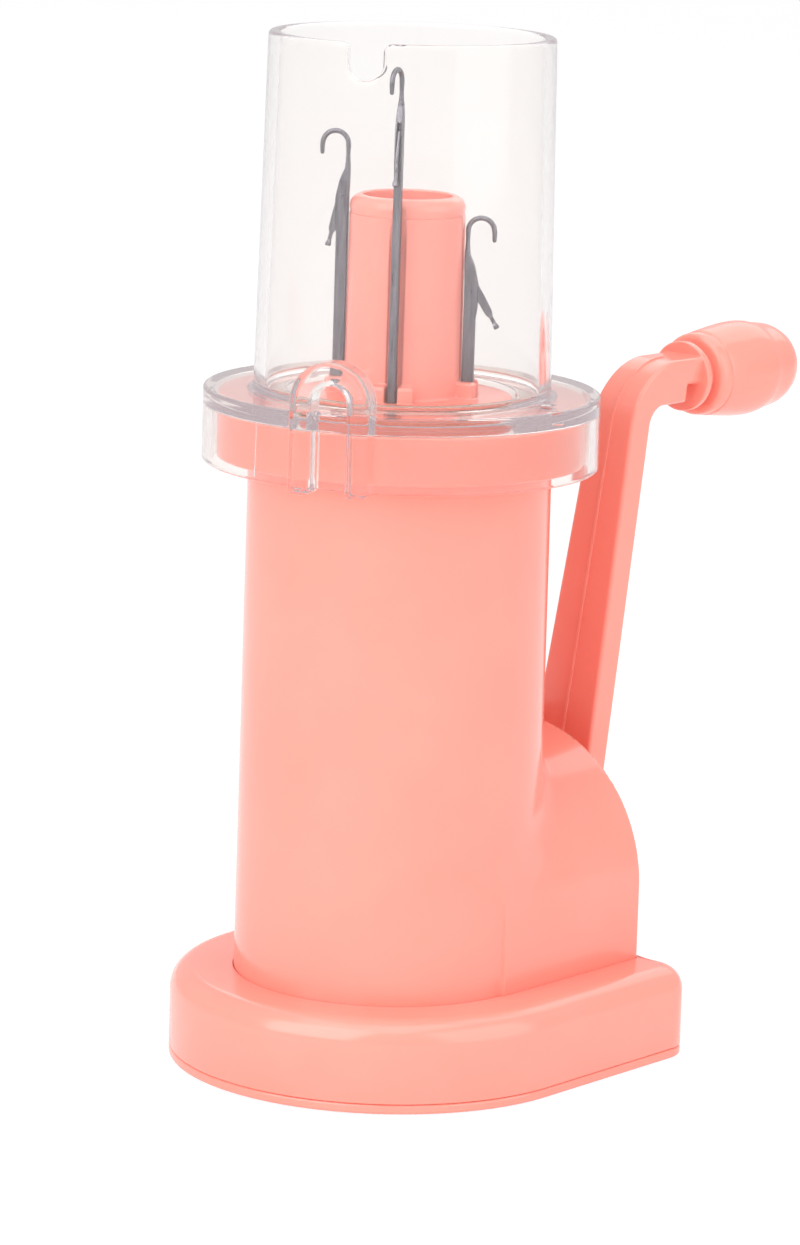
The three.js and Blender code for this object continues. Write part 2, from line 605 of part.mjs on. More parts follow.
// built with x as the distance from the tower's axis and z = 0 at the top of the hook
function needle() {
  const n = NEEDLE;
  const blade = extrudeBlade(outline([
    [n.inner, n.bottom], [n.outer, n.bottom], [n.outer, n.buttDrop - n.buttHalfHeight],
    [n.buttReach, n.buttDrop - n.buttHalfHeight], [n.buttReach, n.buttDrop + n.buttHalfHeight],
    [n.outer, n.buttDrop + n.buttHalfHeight], [n.outer, n.slotBottom], [n.cheekOuter, n.slotBottom + 1],
    [n.cheekOuter, n.pivotDrop], [n.outer - 0.3, n.cheekTop], [n.hookCentre - n.hookRadius + n.wire, n.neck],
    [n.hookCentre - n.hookRadius - n.wire, n.neck], [n.inner - 0.1, n.cheekTop], [n.inner, n.pivotDrop],
  ]), n.halfThickness);
  const slot = block([n.slotFloor, -n.slotHalf, n.slotBottom], [n.cheekOuter + 1, n.slotHalf, n.slotTop]);
  const rivetHole = rodAcross(RIVET.hole, 1);
  return cut(join(blade, hookWire()), slot, rivetHole);
}

const extrudeBlade = (shape, half) => extrudeBack(shape, -half, half);

// a rod through the latch pivot, square to the needle's blade
function rodAcross(radius, half) {
  return rodBack(radius, -half, half, NEEDLE.pivotReach, NEEDLE.pivotDrop, SEGMENTS.tiny);
}

function hookWire() {
  const { hookCentre, hookRadius, wire, neck, hookTip } = NEEDLE;
  const crest = -hookRadius - wire;
  const bend = arc(hookCentre, crest, hookRadius, 180, 0, 8);
  const stem = hookCentre - hookRadius;
  const points = [[stem, neck - 1], [stem, neck / 2], ...bend, [hookCentre + hookRadius + 0.1, hookTip]];
  const path = new THREE.CatmullRomCurve3(points.map(([x, z]) => new THREE.Vector3(x, 0, z)));
  const section = outline(arc(0, 0, wire, 0, 324, 9));
  return new THREE.ExtrudeGeometry(section, { steps: 20, extrudePath: path });
}

// built like the needle, hanging open at an angle out from the stem
function latch(openAngle) {
  const { length, plate, halfWidth, tipHalf, halfThickness } = LATCH;
  const profile = outline([
    [-halfWidth, 0.1], [-halfWidth * 0.6, halfWidth * 0.9], [halfWidth * 0.6, halfWidth * 0.9], [halfWidth, 0.1],
    [halfWidth + 0.1, -plate / 2], [halfWidth, -plate], [tipHalf, -plate - 0.4], [tipHalf, -length + 0.5],
    [tipHalf + 0.12, -length], [-tipHalf, -length], [-tipHalf, -plate - 0.4], [-halfWidth + 0.2, -plate],
  ]);
  const blade = extrudeBlade(profile, halfThickness);
  const turned = blade.rotateY(-degrees(openAngle)).translate(NEEDLE.pivotReach, 0, NEEDLE.pivotDrop);
  return cut(turned, rodAcross(RIVET.hole, 1));
}

const rivet = () => toGeometry(toSolid(rodAcross(RIVET.radius, RIVET.halfLength)));

// ---------- assembly ----------

function addPart(group, name, geometry, finish) {
  const mesh = new THREE.Mesh(geometry, new THREE.MeshStandardMaterial(FINISHES[finish]));
  mesh.name = name;
  group.add(mesh);
  return mesh;
}

function frameGroup() {
  const group = new THREE.Group();
  addPart(group, 'base_shell', baseShell(), 'shellPink');
  addPart(group, 'bottom_cover', bottomCover(), 'shellPink');
  addPart(group, 'tower_shell', towerShell(), 'shellPink');
  addPart(group, 'clear_guard', clearGuard(), 'clearPlastic');
  addPart(group, 'cam_lower', camLower(), 'naturalNylon');
  addPart(group, 'cam_upper', camUpper(), 'naturalNylon');
  addPart(group, 'thrust_washer', thrustWasher(), 'zincSteel');
  addPart(group, 'shaft_bush', shaftBush(), 'naturalNylon').position.z = CRANK_AXIS_Z;
  SCREW_PLACES.forEach(([x, y], i) => {
    addPart(group, `cover_screw_${i + 1}`, coverScrew(), 'zincSteel').position.set(x, y, 0);
  });
  return group;
}

function driveGroup() {
  const group = new THREE.Group();
  addPart(group, 'drive_gear', driveGear(), 'naturalNylon');
  addPart(group, 'crank_shaft', crankShaft(), 'zincSteel');
  addPart(group, 'crank_arm', crankArm(), 'shellPink');
  addPart(group, 'crank_screw', crankScrew(), 'zincSteel');
  const grip = new THREE.Group();
  addPart(grip, 'knob', knob(), 'shellPink');
  addPart(grip, 'knob_screw', knobScrew(), 'zincSteel');
  grip.position.set(KNOB_AXIS.x, 0, KNOB_AXIS.z - CRANK_AXIS_Z);
  group.add(grip);
  group.position.z = CRANK_AXIS_Z;
  return group;
}

function needleGroup(azimuth, number) {
  const group = new THREE.Group();
  addPart(group, `needle_${number}`, needle(), 'needleSteel');
  addPart(group, `latch_${number}`, latch(NEEDLE.latchAngles[number - 1]), 'needleSteel');
  addPart(group, `rivet_${number}`, rivet(), 'needleSteel');
  group.rotation.z = azimuthTurn(azimuth);
  group.position.z = hookHeight(azimuth);
  return group;
}

const mill = new THREE.Group();
mill.add(frameGroup(), driveGroup());
addPart(mill, 'needle_cylinder', needleCylinder(), 'shellPink');
NEEDLE.azimuths.forEach((azimuth, i) => mill.add(needleGroup(azimuth, i + 1)));
mill.position.y = (BASE.halfWidth - KNOB.end) / 2;

export default mill;
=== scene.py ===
"""Looks for the hand-cranked cord knitting mill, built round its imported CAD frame.

Shapes are drawn in millimetres with the tower's axis at x = y = 0, as on the CAD model, then scaled to metres and
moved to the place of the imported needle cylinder. Curved shells are signed-distance fields turned into quad meshes.
"""

import math

import bpy
import numpy as np
from mathutils import Matrix, Vector


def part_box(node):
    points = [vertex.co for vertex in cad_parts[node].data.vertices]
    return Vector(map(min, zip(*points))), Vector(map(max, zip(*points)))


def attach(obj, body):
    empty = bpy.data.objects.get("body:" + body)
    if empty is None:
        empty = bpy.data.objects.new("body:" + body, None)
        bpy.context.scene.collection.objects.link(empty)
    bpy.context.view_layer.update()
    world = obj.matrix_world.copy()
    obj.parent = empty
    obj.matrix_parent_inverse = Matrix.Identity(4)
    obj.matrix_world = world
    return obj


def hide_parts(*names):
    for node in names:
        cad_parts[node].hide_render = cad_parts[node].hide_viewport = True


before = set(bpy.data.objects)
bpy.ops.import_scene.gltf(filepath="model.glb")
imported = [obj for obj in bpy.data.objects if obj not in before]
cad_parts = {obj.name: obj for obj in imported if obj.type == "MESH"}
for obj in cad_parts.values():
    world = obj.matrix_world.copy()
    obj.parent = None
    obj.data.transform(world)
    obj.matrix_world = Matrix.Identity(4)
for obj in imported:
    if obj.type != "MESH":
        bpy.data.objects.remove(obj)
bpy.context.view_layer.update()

MM = 0.001
FULL_TURN = 2 * math.pi

# ------------ places taken from the frame

cylinder_low, cylinder_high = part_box("needle_cylinder")
AXIS = Vector(((cylinder_low.x + cylinder_high.x) / 2, (cylinder_low.y + cylinder_high.y) / 2, 0))


def box_mm(node):
    """A CAD node's lowest and highest corner, in millimetres about the tower's axis."""
    low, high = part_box(node)
    return (low - AXIS) / MM, (high - AXIS) / MM


# ------------ signed-distance helpers

FAR_AWAY = 50.0  # mm, for where a shape isn't


def soft_or(a, b, radius):
    """Both shapes, with a fillet where they meet."""
    return np.maximum(radius, np.minimum(a, b)) - np.hypot(np.maximum(radius - a, 0), np.maximum(radius - b, 0))


def soft_and(a, b, radius):
    """What both shapes share, with a rounded edge where they meet."""
    return np.minimum(-radius, np.maximum(a, b)) + np.hypot(np.maximum(radius + a, 0), np.maximum(radius + b, 0))


def soft_cut(a, b, radius):
    """The first shape without the second, with a rounded edge between them."""
    return soft_and(a, -b, radius)


def span(value, low, high):
    """A slab between two values."""
    return np.maximum(low - value, value - high)


def smooth_step(value, low, high):
    share = np.clip((value - low) / (high - low), 0, 1)
    return share * share * (3 - 2 * share)


def ticks(*runs):
    """Grid ticks over runs of (start, stop, step), which follow one another."""
    parts = [np.linspace(a, b, max(2, int(round((b - a) / step)) + 1))[:-1] for a, b, step in runs]
    return np.concatenate(parts + [[runs[-1][1]]])


def turn_ticks(step, fine, spots, reach):
    """Ticks once round, in degrees: coarse everywhere, and fine within reach of each spot."""
    marks = [0.0]
    while marks[-1] < 360:
        near = min(abs((marks[-1] - spot + 180) % 360 - 180) for spot in spots)
        marks.append(marks[-1] + (fine if near < reach else min(step, max(fine, near - reach))))
    values = np.array(marks[:-1])
    return np.radians(values * 360 / marks[-1])


FINEST_CELL = 0.1  # mm; a vertex may slide at least half this far in a step
SLIDES = 4
LEAST_STEEPNESS = 0.05
PROBE = 0.004  # mm on each side, where the field's slope is measured


def polar_place(a, b, c):
    return a * np.cos(b), a * np.sin(b), c


def plain_place(a, b, c):
    return a, b, c


def iso_mesh(field, grid, place=plain_place, wrap=False):
    """Quads on the zero surface of field(x, y, z), found on a grid of three tick lists.

    Each grid cell that the surface crosses gets one vertex, which then slides down the field's slope onto it.
    Returns vertices, quads and unit normals.
    """
    ta, tb, tc = grid
    if wrap:
        tb = np.append(tb, tb[0] + FULL_TURN)
    a, b, c = np.meshgrid(ta, tb, tc, indexing="ij")
    values = field(*place(a, b, c))
    if wrap:
        values[:, -1] = values[:, 0]
    inside = values < 0
    shape = np.array(values.shape)
    cells = shape - 1
    count = np.zeros(cells.prod())
    total = np.zeros((3, cells.prod()))
    axes = (ta, tb, tc)
    crossings = []
    for axis in range(3):
        low = [slice(None)] * 3
        high = [slice(None)] * 3
        low[axis], high[axis] = slice(None, -1), slice(1, None)
        change = inside[tuple(low)] != inside[tuple(high)]
        index = np.argwhere(change)
        first, second = values[tuple(low)][change], values[tuple(high)][change]
        share = first / (first - second)
        point = np.stack([axes[k][index[:, k]] for k in range(3)]).astype(float)
        step = np.diff(axes[axis])[index[:, axis]]
        point[axis] += share * step
        crossings.append((axis, index, first < 0))
        others = [k for k in range(3) if k != axis]
        for back in ((0, 0), (0, 1), (1, 0), (1, 1)):
            cell = index.copy()
            cell[:, others[0]] -= back[0]
            cell[:, others[1]] -= back[1]
            good = np.all((cell >= 0) & (cell < cells), axis=1)
            flat = np.ravel_multi_index(cell[good].T, cells)
            count += np.bincount(flat, minlength=count.size)
            for k in range(3):
                total[k] += np.bincount(flat, weights=point[k][good], minlength=count.size)
    used = np.flatnonzero(count)
    number = np.full(count.size, -1)
    number[used] = np.arange(used.size)
    middle = total[:, used] / count[used]
    quads = []
    for axis, index, leaving in crossings:
        second_axis, third_axis = (axis + 1) % 3, (axis + 2) % 3
        corners = []
        good = np.ones(len(index), bool)
        for back in ((1, 1), (0, 1), (0, 0), (1, 0)):
            cell = index.copy()
            cell[:, second_axis] -= back[0]
            cell[:, third_axis] -= back[1]
            if wrap:
                if axis != 1:
                    good &= index[:, 1] < cells[1]
                cell[:, 1] %= cells[1]
            good &= np.all((cell >= 0) & (cell < cells), axis=1)
            corners.append(cell)
        faces = np.stack([number[np.ravel_multi_index(cell[good].T, cells)] for cell in corners], axis=1)
        flip = ~leaving[good]
        faces[flip] = faces[flip][:, ::-1]
        quads.append(faces)
    quads = np.concatenate(quads)
    x, y, z = place(*middle)
    points = np.stack([x, y, z]).astype(float)
    reach = 0.5 * max(np.diff(ta).min(), np.diff(tc).min(), FINEST_CELL)
    for _ in range(SLIDES):
        slope, value = gradient(field, points)
        steepness = np.maximum((slope**2).sum(0), LEAST_STEEPNESS)
        move = np.clip(value / steepness, -reach, reach)
        points -= move * slope
    slope, _ = gradient(field, points)
    normals = slope / np.maximum(np.linalg.norm(slope, axis=0), 1e-9)
    return points.T, quads, normals.T


def gradient(field, points):
    """The field's slope and value at each point."""
    slope = np.empty_like(points)
    for k in range(3):
        nudge = np.zeros((3, 1))
        nudge[k] = PROBE
        slope[k] = (field(*(points + nudge)) - field(*(points - nudge))) / (2 * PROBE)
    return slope, field(*points)


# ------------ meshes and pieces


def make_piece(name, points, faces, material, body, stands_for=(), normals=None, sharp=None):
    """An object from points in millimetres about the tower's axis, riding on a CAD body."""
    mesh = bpy.data.meshes.new(name)
    metres = np.asarray(points) * MM + np.array(AXIS)
    mesh.from_pydata(metres.tolist(), [], [list(map(int, face)) for face in faces])
    mesh.validate()
    mesh.polygons.foreach_set("use_smooth", np.ones(len(mesh.polygons), bool))
    if sharp is not None:
        mesh.set_sharp_from_angle(angle=math.radians(sharp))
    if normals is not None and len(mesh.vertices) == len(normals):
        mesh.normals_split_custom_set_from_vertices(np.asarray(normals).tolist())
    mesh.materials.append(material)
    obj = bpy.data.objects.new(name, mesh)
    bpy.context.scene.collection.objects.link(obj)
    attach(obj, body)
    if stands_for:
        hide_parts(*stands_for)
    return obj


def loft(rings, closed=True):
    """Quads between rings with equal counts of points. A closed loft joins its last ring to its first."""
    rings = [np.asarray(ring, float) for ring in rings]
    count = len(rings[0])
    faces = []
    last = len(rings) if closed else len(rings) - 1
    for i in range(last):
        a, b = i * count, ((i + 1) % len(rings)) * count
        for j in range(count):
            k = (j + 1) % count
            faces.append((a + j, a + k, b + k, b + j))
    return np.concatenate(rings), faces


def lathe(profile, segments, place, closed=True):
    """A solid of revolution. place(radius, along, angle) gives a point. An open profile gets a cap at each end."""
    turns = np.arange(segments) * FULL_TURN / segments
    rings = [np.stack(place(radius, along, turns), axis=1) for radius, along in profile]
    points, faces = loft(rings, closed)
    if not closed:
        faces.append(tuple(range(segments))[::-1])
        base = (len(rings) - 1) * segments
        faces.append(tuple(base + j for j in range(segments)))
    return points, faces


def rounded_profile(corners, steps=5):
    """A profile whose corners, given as (x, y, radius), are rounded by arcs."""
    points = []
    count = len(corners)
    for i, (x, y, radius) in enumerate(corners):
        here = Vector((x, y))
        before = Vector(corners[(i - 1) % count][:2]) - here
        after = Vector(corners[(i + 1) % count][:2]) - here
        if radius <= 0 or before.length < 1e-6 or after.length < 1e-6:
            points.append((x, y))
            continue
        before_way, after_way = before.normalized(), after.normalized()
        half = before_way.angle(after_way) / 2
        if half > math.radians(88):
            points.append((x, y))
            continue
        reach = min(radius / math.tan(half), 0.49 * before.length, 0.49 * after.length)
        radius = reach * math.tan(half)
        centre = here + (before_way + after_way).normalized() * (radius / math.sin(half))
        start = here + before_way * reach - centre
        stop = here + after_way * reach - centre
        sweep = start.angle_signed(stop)
        for k in range(steps + 1):
            turned = Matrix.Rotation(-sweep * k / steps, 2) @ start
            points.append(tuple(centre + turned))
    return points


# ------------ materials


def new_material(name):
    material = bpy.data.materials.new(name)
    material.use_nodes = True
    nodes = material.node_tree.nodes
    return material, nodes, material.node_tree.links, nodes["Principled BSDF"]


def texture_place(nodes, links, scale=(1, 1, 1)):
    coordinate = nodes.new("ShaderNodeTexCoord")
    mapping = nodes.new("ShaderNodeMapping")
    mapping.inputs["Scale"].default_value = scale
    links.new(coordinate.outputs["Object"], mapping.inputs["Vector"])
    return mapping.outputs["Vector"]


def noise(nodes, links, place, scale, detail=2.0, roughness=0.5):
    node = nodes.new("ShaderNodeTexNoise")
    node.inputs["Scale"].default_value = scale
    node.inputs["Detail"].default_value = detail
    node.inputs["Roughness"].default_value = roughness
    links.new(place, node.inputs["Vector"])
    return node.outputs["Fac"]


def map_range(nodes, links, value, low, high, from_low=0.3, from_high=0.7):
    node = nodes.new("ShaderNodeMapRange")
    node.inputs["From Min"].default_value = from_low
    node.inputs["From Max"].default_value = from_high
    node.inputs["To Min"].default_value = low
    node.inputs["To Max"].default_value = high
    links.new(value, node.inputs["Value"])
    return node.outputs["Result"]


def colour_ramp(nodes, links, value, stops):
    node = nodes.new("ShaderNodeValToRGB")
    while len(node.color_ramp.elements) < len(stops):
        node.color_ramp.elements.new(0.5)
    for element, (position, colour) in zip(node.color_ramp.elements, stops):
        element.position = position
        element.color = (*colour, 1)
    links.new(value, node.inputs["Fac"])
    return node.outputs["Color"]


def bump(nodes, links, height, strength, distance, under=None):
    node = nodes.new("ShaderNodeBump")
    node.inputs["Strength"].default_value = strength
    node.inputs["Distance"].default_value = distance
    links.new(height, node.inputs["Height"])
    if under is not None:
        links.new(under, node.inputs["Normal"])
    return node.outputs["Normal"]


def math_node(nodes, links, operation, first, second):
    node = nodes.new("ShaderNodeMath")
    node.operation = operation
    for socket, value in zip(node.inputs, (first, second)):
        if isinstance(value, (int, float)):
            socket.default_value = value
        else:
            links.new(value, socket)
    return node.outputs["Value"]


def pink_plastic(name, deep, light, roughness, bump_strength):
    """Glossy moulded plastic: faint flow clouds in the colour, a fine skin and very slight sink waves."""
    material, nodes, links, shader = new_material(name)
    place = texture_place(nodes, links)
    clouds = noise(nodes, links, place, 55, 3)
    links.new(colour_ramp(nodes, links, clouds, [(0.1, deep), (0.9, light)]), shader.inputs["Base Color"])
    scuffs = noise(nodes, links, place, 160, 2, 0.5)
    links.new(map_range(nodes, links, scuffs, roughness - 0.02, roughness + 0.03, 0, 1), shader.inputs["Roughness"])
    waves = noise(nodes, links, place, 40, 1)
    links.new(bump(nodes, links, waves, bump_strength, 0.0002), shader.inputs["Normal"])
    shader.inputs["IOR"].default_value = 1.54
    shader.inputs["Subsurface Weight"].default_value = 0.1
    shader.inputs["Subsurface Radius"].default_value = (1.0, 0.45, 0.3)
    shader.inputs["Subsurface Scale"].default_value = 0.002
    return material


COLLAR_FADE = (0.0905, 0.0915)  # metres up, where the guard's darker, warmer tint over its collar gives way to the paler tint of its tube
COLLAR_TINTS = [(0.05, (0.92, 0.855, 0.83)), (0.45, (0.94, 0.88, 0.855))]
TUBE_TINTS = [(0.55, (0.95, 0.93, 0.92)), (0.95, (0.97, 0.955, 0.945))]
GUARD_SHADOW = (0.72, 0.69, 0.69, 1)
# SPILL_GLOW is a painted glow: the colour the guard emits to deep, trapped rays, in place of light caught in its
# walls
SPILL_GLOW = (0.48, 0.405, 0.44, 1)
TRAPPED_MIRRORS, TRAPPED_RAYS = 1.5, 7.5  # a ray deeper than either of these is trapped in the guard's walls


def clear_plastic(name):
    """Polished clear plastic, with faint flow marks and a darker, warmer tint in the collar. Shadow rays pass
    straight through it.

    Light caught between its walls comes out in the end; this is painted as a pale glow, an emission that a deep
    mirrored ray sees instead of black.
    """
    material, nodes, links, shader = new_material(name)
    place = texture_place(nodes, links)
    clouds = noise(nodes, links, place, 90, 2)
    parts = nodes.new("ShaderNodeSeparateXYZ")
    links.new(place, parts.inputs["Vector"])
    on_tube = map_range(nodes, links, parts.outputs["Z"], 0.0, 0.5, *COLLAR_FADE)
    shade = math_node(nodes, links, "ADD", map_range(nodes, links, clouds, 0.0, 0.5, 0, 1), on_tube)
    links.new(colour_ramp(nodes, links, shade, COLLAR_TINTS + TUBE_TINTS), shader.inputs["Base Color"])
    scuffs = noise(nodes, links, place, 120, 1)
    links.new(map_range(nodes, links, scuffs, 0.04, 0.06), shader.inputs["Roughness"])
    waves = noise(nodes, links, place, 60, 0)
    links.new(bump(nodes, links, waves, 0.02, 0.0002), shader.inputs["Normal"])
    shader.inputs["Transmission Weight"].default_value = 0.96
    shader.inputs["IOR"].default_value = 1.27
    clear = nodes.new("ShaderNodeBsdfTransparent")
    clear.inputs["Color"].default_value = GUARD_SHADOW
    path = nodes.new("ShaderNodeLightPath")
    mix = nodes.new("ShaderNodeMixShader")
    links.new(path.outputs["Is Shadow Ray"], mix.inputs["Fac"])
    trapped = nodes.new("ShaderNodeMixShader")
    # painted glow: an emission in the guard, which is no lamp, for rays trapped between its walls
    spill = nodes.new("ShaderNodeEmission")
    spill.inputs["Color"].default_value = SPILL_GLOW
    mirrored = math_node(nodes, links, "GREATER_THAN", path.outputs["Glossy Depth"], TRAPPED_MIRRORS)
    deep = math_node(nodes, links, "GREATER_THAN", path.outputs["Ray Depth"], TRAPPED_RAYS)
    links.new(math_node(nodes, links, "MAXIMUM", mirrored, deep), trapped.inputs["Fac"])
    links.new(shader.outputs["BSDF"], trapped.inputs[1])
    links.new(spill.outputs["Emission"], trapped.inputs[2])
    links.new(trapped.outputs["Shader"], mix.inputs[1])
    links.new(clear.outputs["BSDF"], mix.inputs[2])
    links.new(mix.outputs["Shader"], nodes["Material Output"].inputs["Surface"])
    return material


def metal(name, dark, light, roughness, streaks):
    """Drawn or plated steel: streaks along Z in colour, roughness and bump."""
    material, nodes, links, shader = new_material(name)
    place = texture_place(nodes, links, (1, 1, streaks))
    grain = noise(nodes, links, place, 2600, 3, 0.6)
    links.new(colour_ramp(nodes, links, grain, [(0.3, dark), (0.7, light)]), shader.inputs["Base Color"])
    links.new(map_range(nodes, links, grain, roughness - 0.08, roughness + 0.12), shader.inputs["Roughness"])
    links.new(bump(nodes, links, grain, 0.25, 0.00002), shader.inputs["Normal"])
    shader.inputs["Metallic"].default_value = 1
    return material


def nylon_plastic(name):
    """Unpainted nylon: slightly mottled and satin."""
    material, nodes, links, shader = new_material(name)
    place = texture_place(nodes, links)
    clouds = noise(nodes, links, place, 140, 3)
    shades = [(0.3, (0.74, 0.69, 0.58)), (0.7, (0.84, 0.8, 0.7))]
    links.new(colour_ramp(nodes, links, clouds, shades), shader.inputs["Base Color"])
    grain = noise(nodes, links, place, 1500, 3)
    links.new(map_range(nodes, links, grain, 0.42, 0.58), shader.inputs["Roughness"])
    links.new(bump(nodes, links, grain, 0.2, 0.00003), shader.inputs["Normal"])
    return material


PINK_DEEP, PINK_LIGHT = (0.95, 0.28, 0.217), (0.975, 0.325, 0.258)
PINK = pink_plastic("pink_shell", PINK_DEEP, PINK_LIGHT, 0.15, 0.05)
CLEAR = clear_plastic("clear_guard_plastic")
NEEDLE_STEEL = metal("needle_steel", (0.11, 0.105, 0.125), (0.23, 0.22, 0.25), 0.34, 0.06)
ZINC = metal("zinc_plate", (0.5, 0.51, 0.53), (0.66, 0.67, 0.69), 0.34, 0.4)
NYLON = nylon_plastic("natural_nylon")

# ------------ base and cover

HALF_WIDTH, BACK, CORNER = 28.5, 31.5, 5.0
BASE_TOP, BASE_EDGE, BASE_WALL, DECK = 12.1, 3.2, 2.0, 2.2
COVER_RIM, COVER_TOP = 1.3, 2.5
GAP = 0.3
SEAM = 0.05  # the gap that shows between the foot and its cover
TIGHT_SEAM = 0.03  # and between the foot and the tower


FRONT_POINTS, SIDE_POINTS, CORNER_POINTS, REAR_POINTS = 121, 19, 13, 31


def footprint(half_width, back, corner, z):
    """A ring round the foot: a half circle in front, straight sides and rounded back corners."""
    round_front = np.linspace(math.pi, FULL_TURN, FRONT_POINTS)
    front = [(half_width * math.cos(a), half_width * math.sin(a)) for a in round_front]
    x, y = half_width - corner, back - corner
    side = [(half_width, v) for v in np.linspace(0, y, SIDE_POINTS)[1:-1]]
    turn = np.linspace(0, math.pi / 2, CORNER_POINTS)
    right = [(x + corner * math.cos(a), y + corner * math.sin(a)) for a in turn]
    rear = [(v, back) for v in np.linspace(x, -x, REAR_POINTS)[1:-1]]
    left = [(-x - corner * math.sin(a), y + corner * math.cos(a)) for a in turn]
    other = [(-half_width, v) for v in np.linspace(y, 0, SIDE_POINTS)[1:-1]]
    return [(u, v, z) for u, v in front + side + right + rear + left + other]


SHARPEST_CORNER = 0.4


def inset_ring(inset, z):
    return footprint(HALF_WIDTH - inset, BACK - inset, CORNER - min(inset, CORNER - SHARPEST_CORNER), z)


TOWER_FOOT, HUMP_HALF, HUMP_BACK, HUMP_EDGE = 20.17, 20.6, 28.6, 0.7


def hole_ring(clearance, z):
    """A ring round the tower's foot, point for point beside the footprint's ring."""
    radius, half, back = TOWER_FOOT + clearance, HUMP_HALF + clearance, HUMP_BACK + clearance
    ring = footprint(half, back, HUMP_EDGE + clearance, z)
    return [(u * radius / half, v * radius / half, z) if i < FRONT_POINTS and v < -0.01 else (u, v, z)
            for i, (u, v, z) in enumerate(ring)]


def quarter(steps):
    return [(1 - math.cos(a), math.sin(a)) for a in np.linspace(0, math.pi / 2, steps)]


FOOT_BEVEL = ((0.15, 0), (0.04, 0.04), (0, 0.15))  # inset and height above the bottom edge
DECK_LIP, DECK_RING = 0.12, 0.4  # the rounding of the deck's hole, and a ring of faces outside it
INNER_CHAMFER = 0.8


def base_shell():
    """The foot: a bevelled bottom edge, a wall, a round upper edge, the deck with its hole, and the inside."""
    bottom = COVER_RIM + SEAM
    rings = [inset_ring(inset, bottom + up) for inset, up in FOOT_BEVEL]
    rings += [inset_ring(BASE_EDGE * across, BASE_TOP - BASE_EDGE + BASE_EDGE * up) for across, up in quarter(13)]
    rings.append(hole_ring(TIGHT_SEAM + DECK_LIP + DECK_RING, BASE_TOP))
    rings += [hole_ring(TIGHT_SEAM + DECK_LIP * (1 - up), BASE_TOP - DECK_LIP * across) for across, up in quarter(5)]
    under = BASE_TOP - DECK
    rings.append(hole_ring(TIGHT_SEAM, under))
    rings.append(inset_ring(BASE_WALL + INNER_CHAMFER, under))
    rings.append(inset_ring(BASE_WALL, under - INNER_CHAMFER))
    rings.append(inset_ring(BASE_WALL, bottom))
    return loft(rings)


points, faces = base_shell()
make_piece("foot_shell", points, faces, PINK, "frame", ["base_shell"], sharp=35)

SCREW_PLACES = [(-12.6, -9), (12.6, -9), (15.9, 23.9), (-15.9, 23.9)]
CHIMNEY_OUTER, CHIMNEY_INNER, CHIMNEY_TOP, CHIMNEY_MOUTH, CHIMNEY_FLARE = 8.0, 6.3, 36.0, 7.2, 0.36
COVER_RECESS = 0.6
HEAD_SINK, HEAD_DEPTH, CONE_RIM, CONE_DEPTH, SCREW_HOLE = 2.7, 0.4, 3.1, 1.8, 1.4


def footprint_distance(x, y, inset=0.0):
    """Distance outside the foot's outline, less than zero inside it."""
    half, corner = HALF_WIDTH - inset, CORNER - inset
    qx, qy = np.abs(x) - (half - corner), y - (BACK - inset - corner)
    square = np.hypot(np.maximum(qx, 0), np.maximum(qy, 0)) + np.minimum(np.maximum(qx, qy), 0) - corner
    return np.where(y < 0, np.hypot(x, y) - half, square)


def cover_field(x, y, z):
    """The cover: a rim to stand on, a plate inside the foot, the chimney, and countersunk screw holes."""
    rho = np.hypot(x, y)
    rim = soft_and(footprint_distance(x, y), span(z, 0, COVER_RIM), 0.35)
    plate = soft_and(footprint_distance(x, y, BASE_WALL + GAP), span(z, COVER_RECESS, COVER_TOP), 0.25)
    chimney = soft_and(rho - CHIMNEY_OUTER, span(z, COVER_RECESS, CHIMNEY_TOP), 0.3)
    solid = soft_or(np.minimum(rim, plate), chimney, 0.5)
    flare = np.maximum(CHIMNEY_MOUTH - CHIMNEY_INNER - np.maximum(z, 0) * CHIMNEY_FLARE, 0)
    solid = soft_cut(solid, rho - CHIMNEY_INNER - flare, 0.25)
    for px, py in SCREW_PLACES:
        reach = np.hypot(x - px, y - py)
        sink = np.maximum(reach - HEAD_SINK, z - HEAD_DEPTH)
        cone = np.maximum(reach + z - CONE_RIM, z - CONE_DEPTH)
        solid = soft_cut(solid, np.minimum(np.minimum(sink, cone), reach - SCREW_HOLE), 0.12)
    return solid


ring_x = ticks((-28.8, -27.6, 0.2), (-27.6, 27.6, 0.55), (27.6, 28.8, 0.2))
ring_y = ticks((-28.8, -27.6, 0.2), (-27.6, 30.6, 0.55), (30.6, 31.8, 0.2))
cover_z = ticks((-0.3, 2.9, 0.16), (2.9, 35.2, 2.5), (35.2, 36.4, 0.2))
points, faces, normals = iso_mesh(cover_field, (ring_x, ring_y, cover_z))
make_piece("foot_cover", points, faces, PINK, "frame", ["bottom_cover"], normals=normals)

# ------------ tower

CRANK_AXIS_Z = 21.6
TOWER_NECK, TOWER_TOP, COLLAR_RADIUS, COLLAR_BOTTOM = 19.86, 87.3, 24.0, 80.9
BORE, GEAR_BORE, SHELF, HUMP_WALL = 17.9, 17.2, 41.5, 2
FILLET_LOW, FILLET_GAIN, FILLET_FROM, FILLET_TO = 0.35, 2.0, 22, 31  # the hump's fillet grows with height
LEDGE_OUT, LEDGE_BOTTOM, LEDGE_TOP = 1.4, 8.1, 9.6
BOSS_RADIUS, BOSS_FRONT, SHAFT_HOLE = 6.2, 20, 4.75
POST_RADIUS, FRONT_POST_TOP, BACK_POST_TOP, PILOT_RADIUS, PILOT_TOP = 3, 20, 13, 1.4, 11
PEG_X, PEG_Y, PEG_RADIUS, PEG_BOTTOM, PEG_HOLE, PEG_HOLE_BOTTOM = 21, 4.1, 1, 84.5, 1.3, 83.5


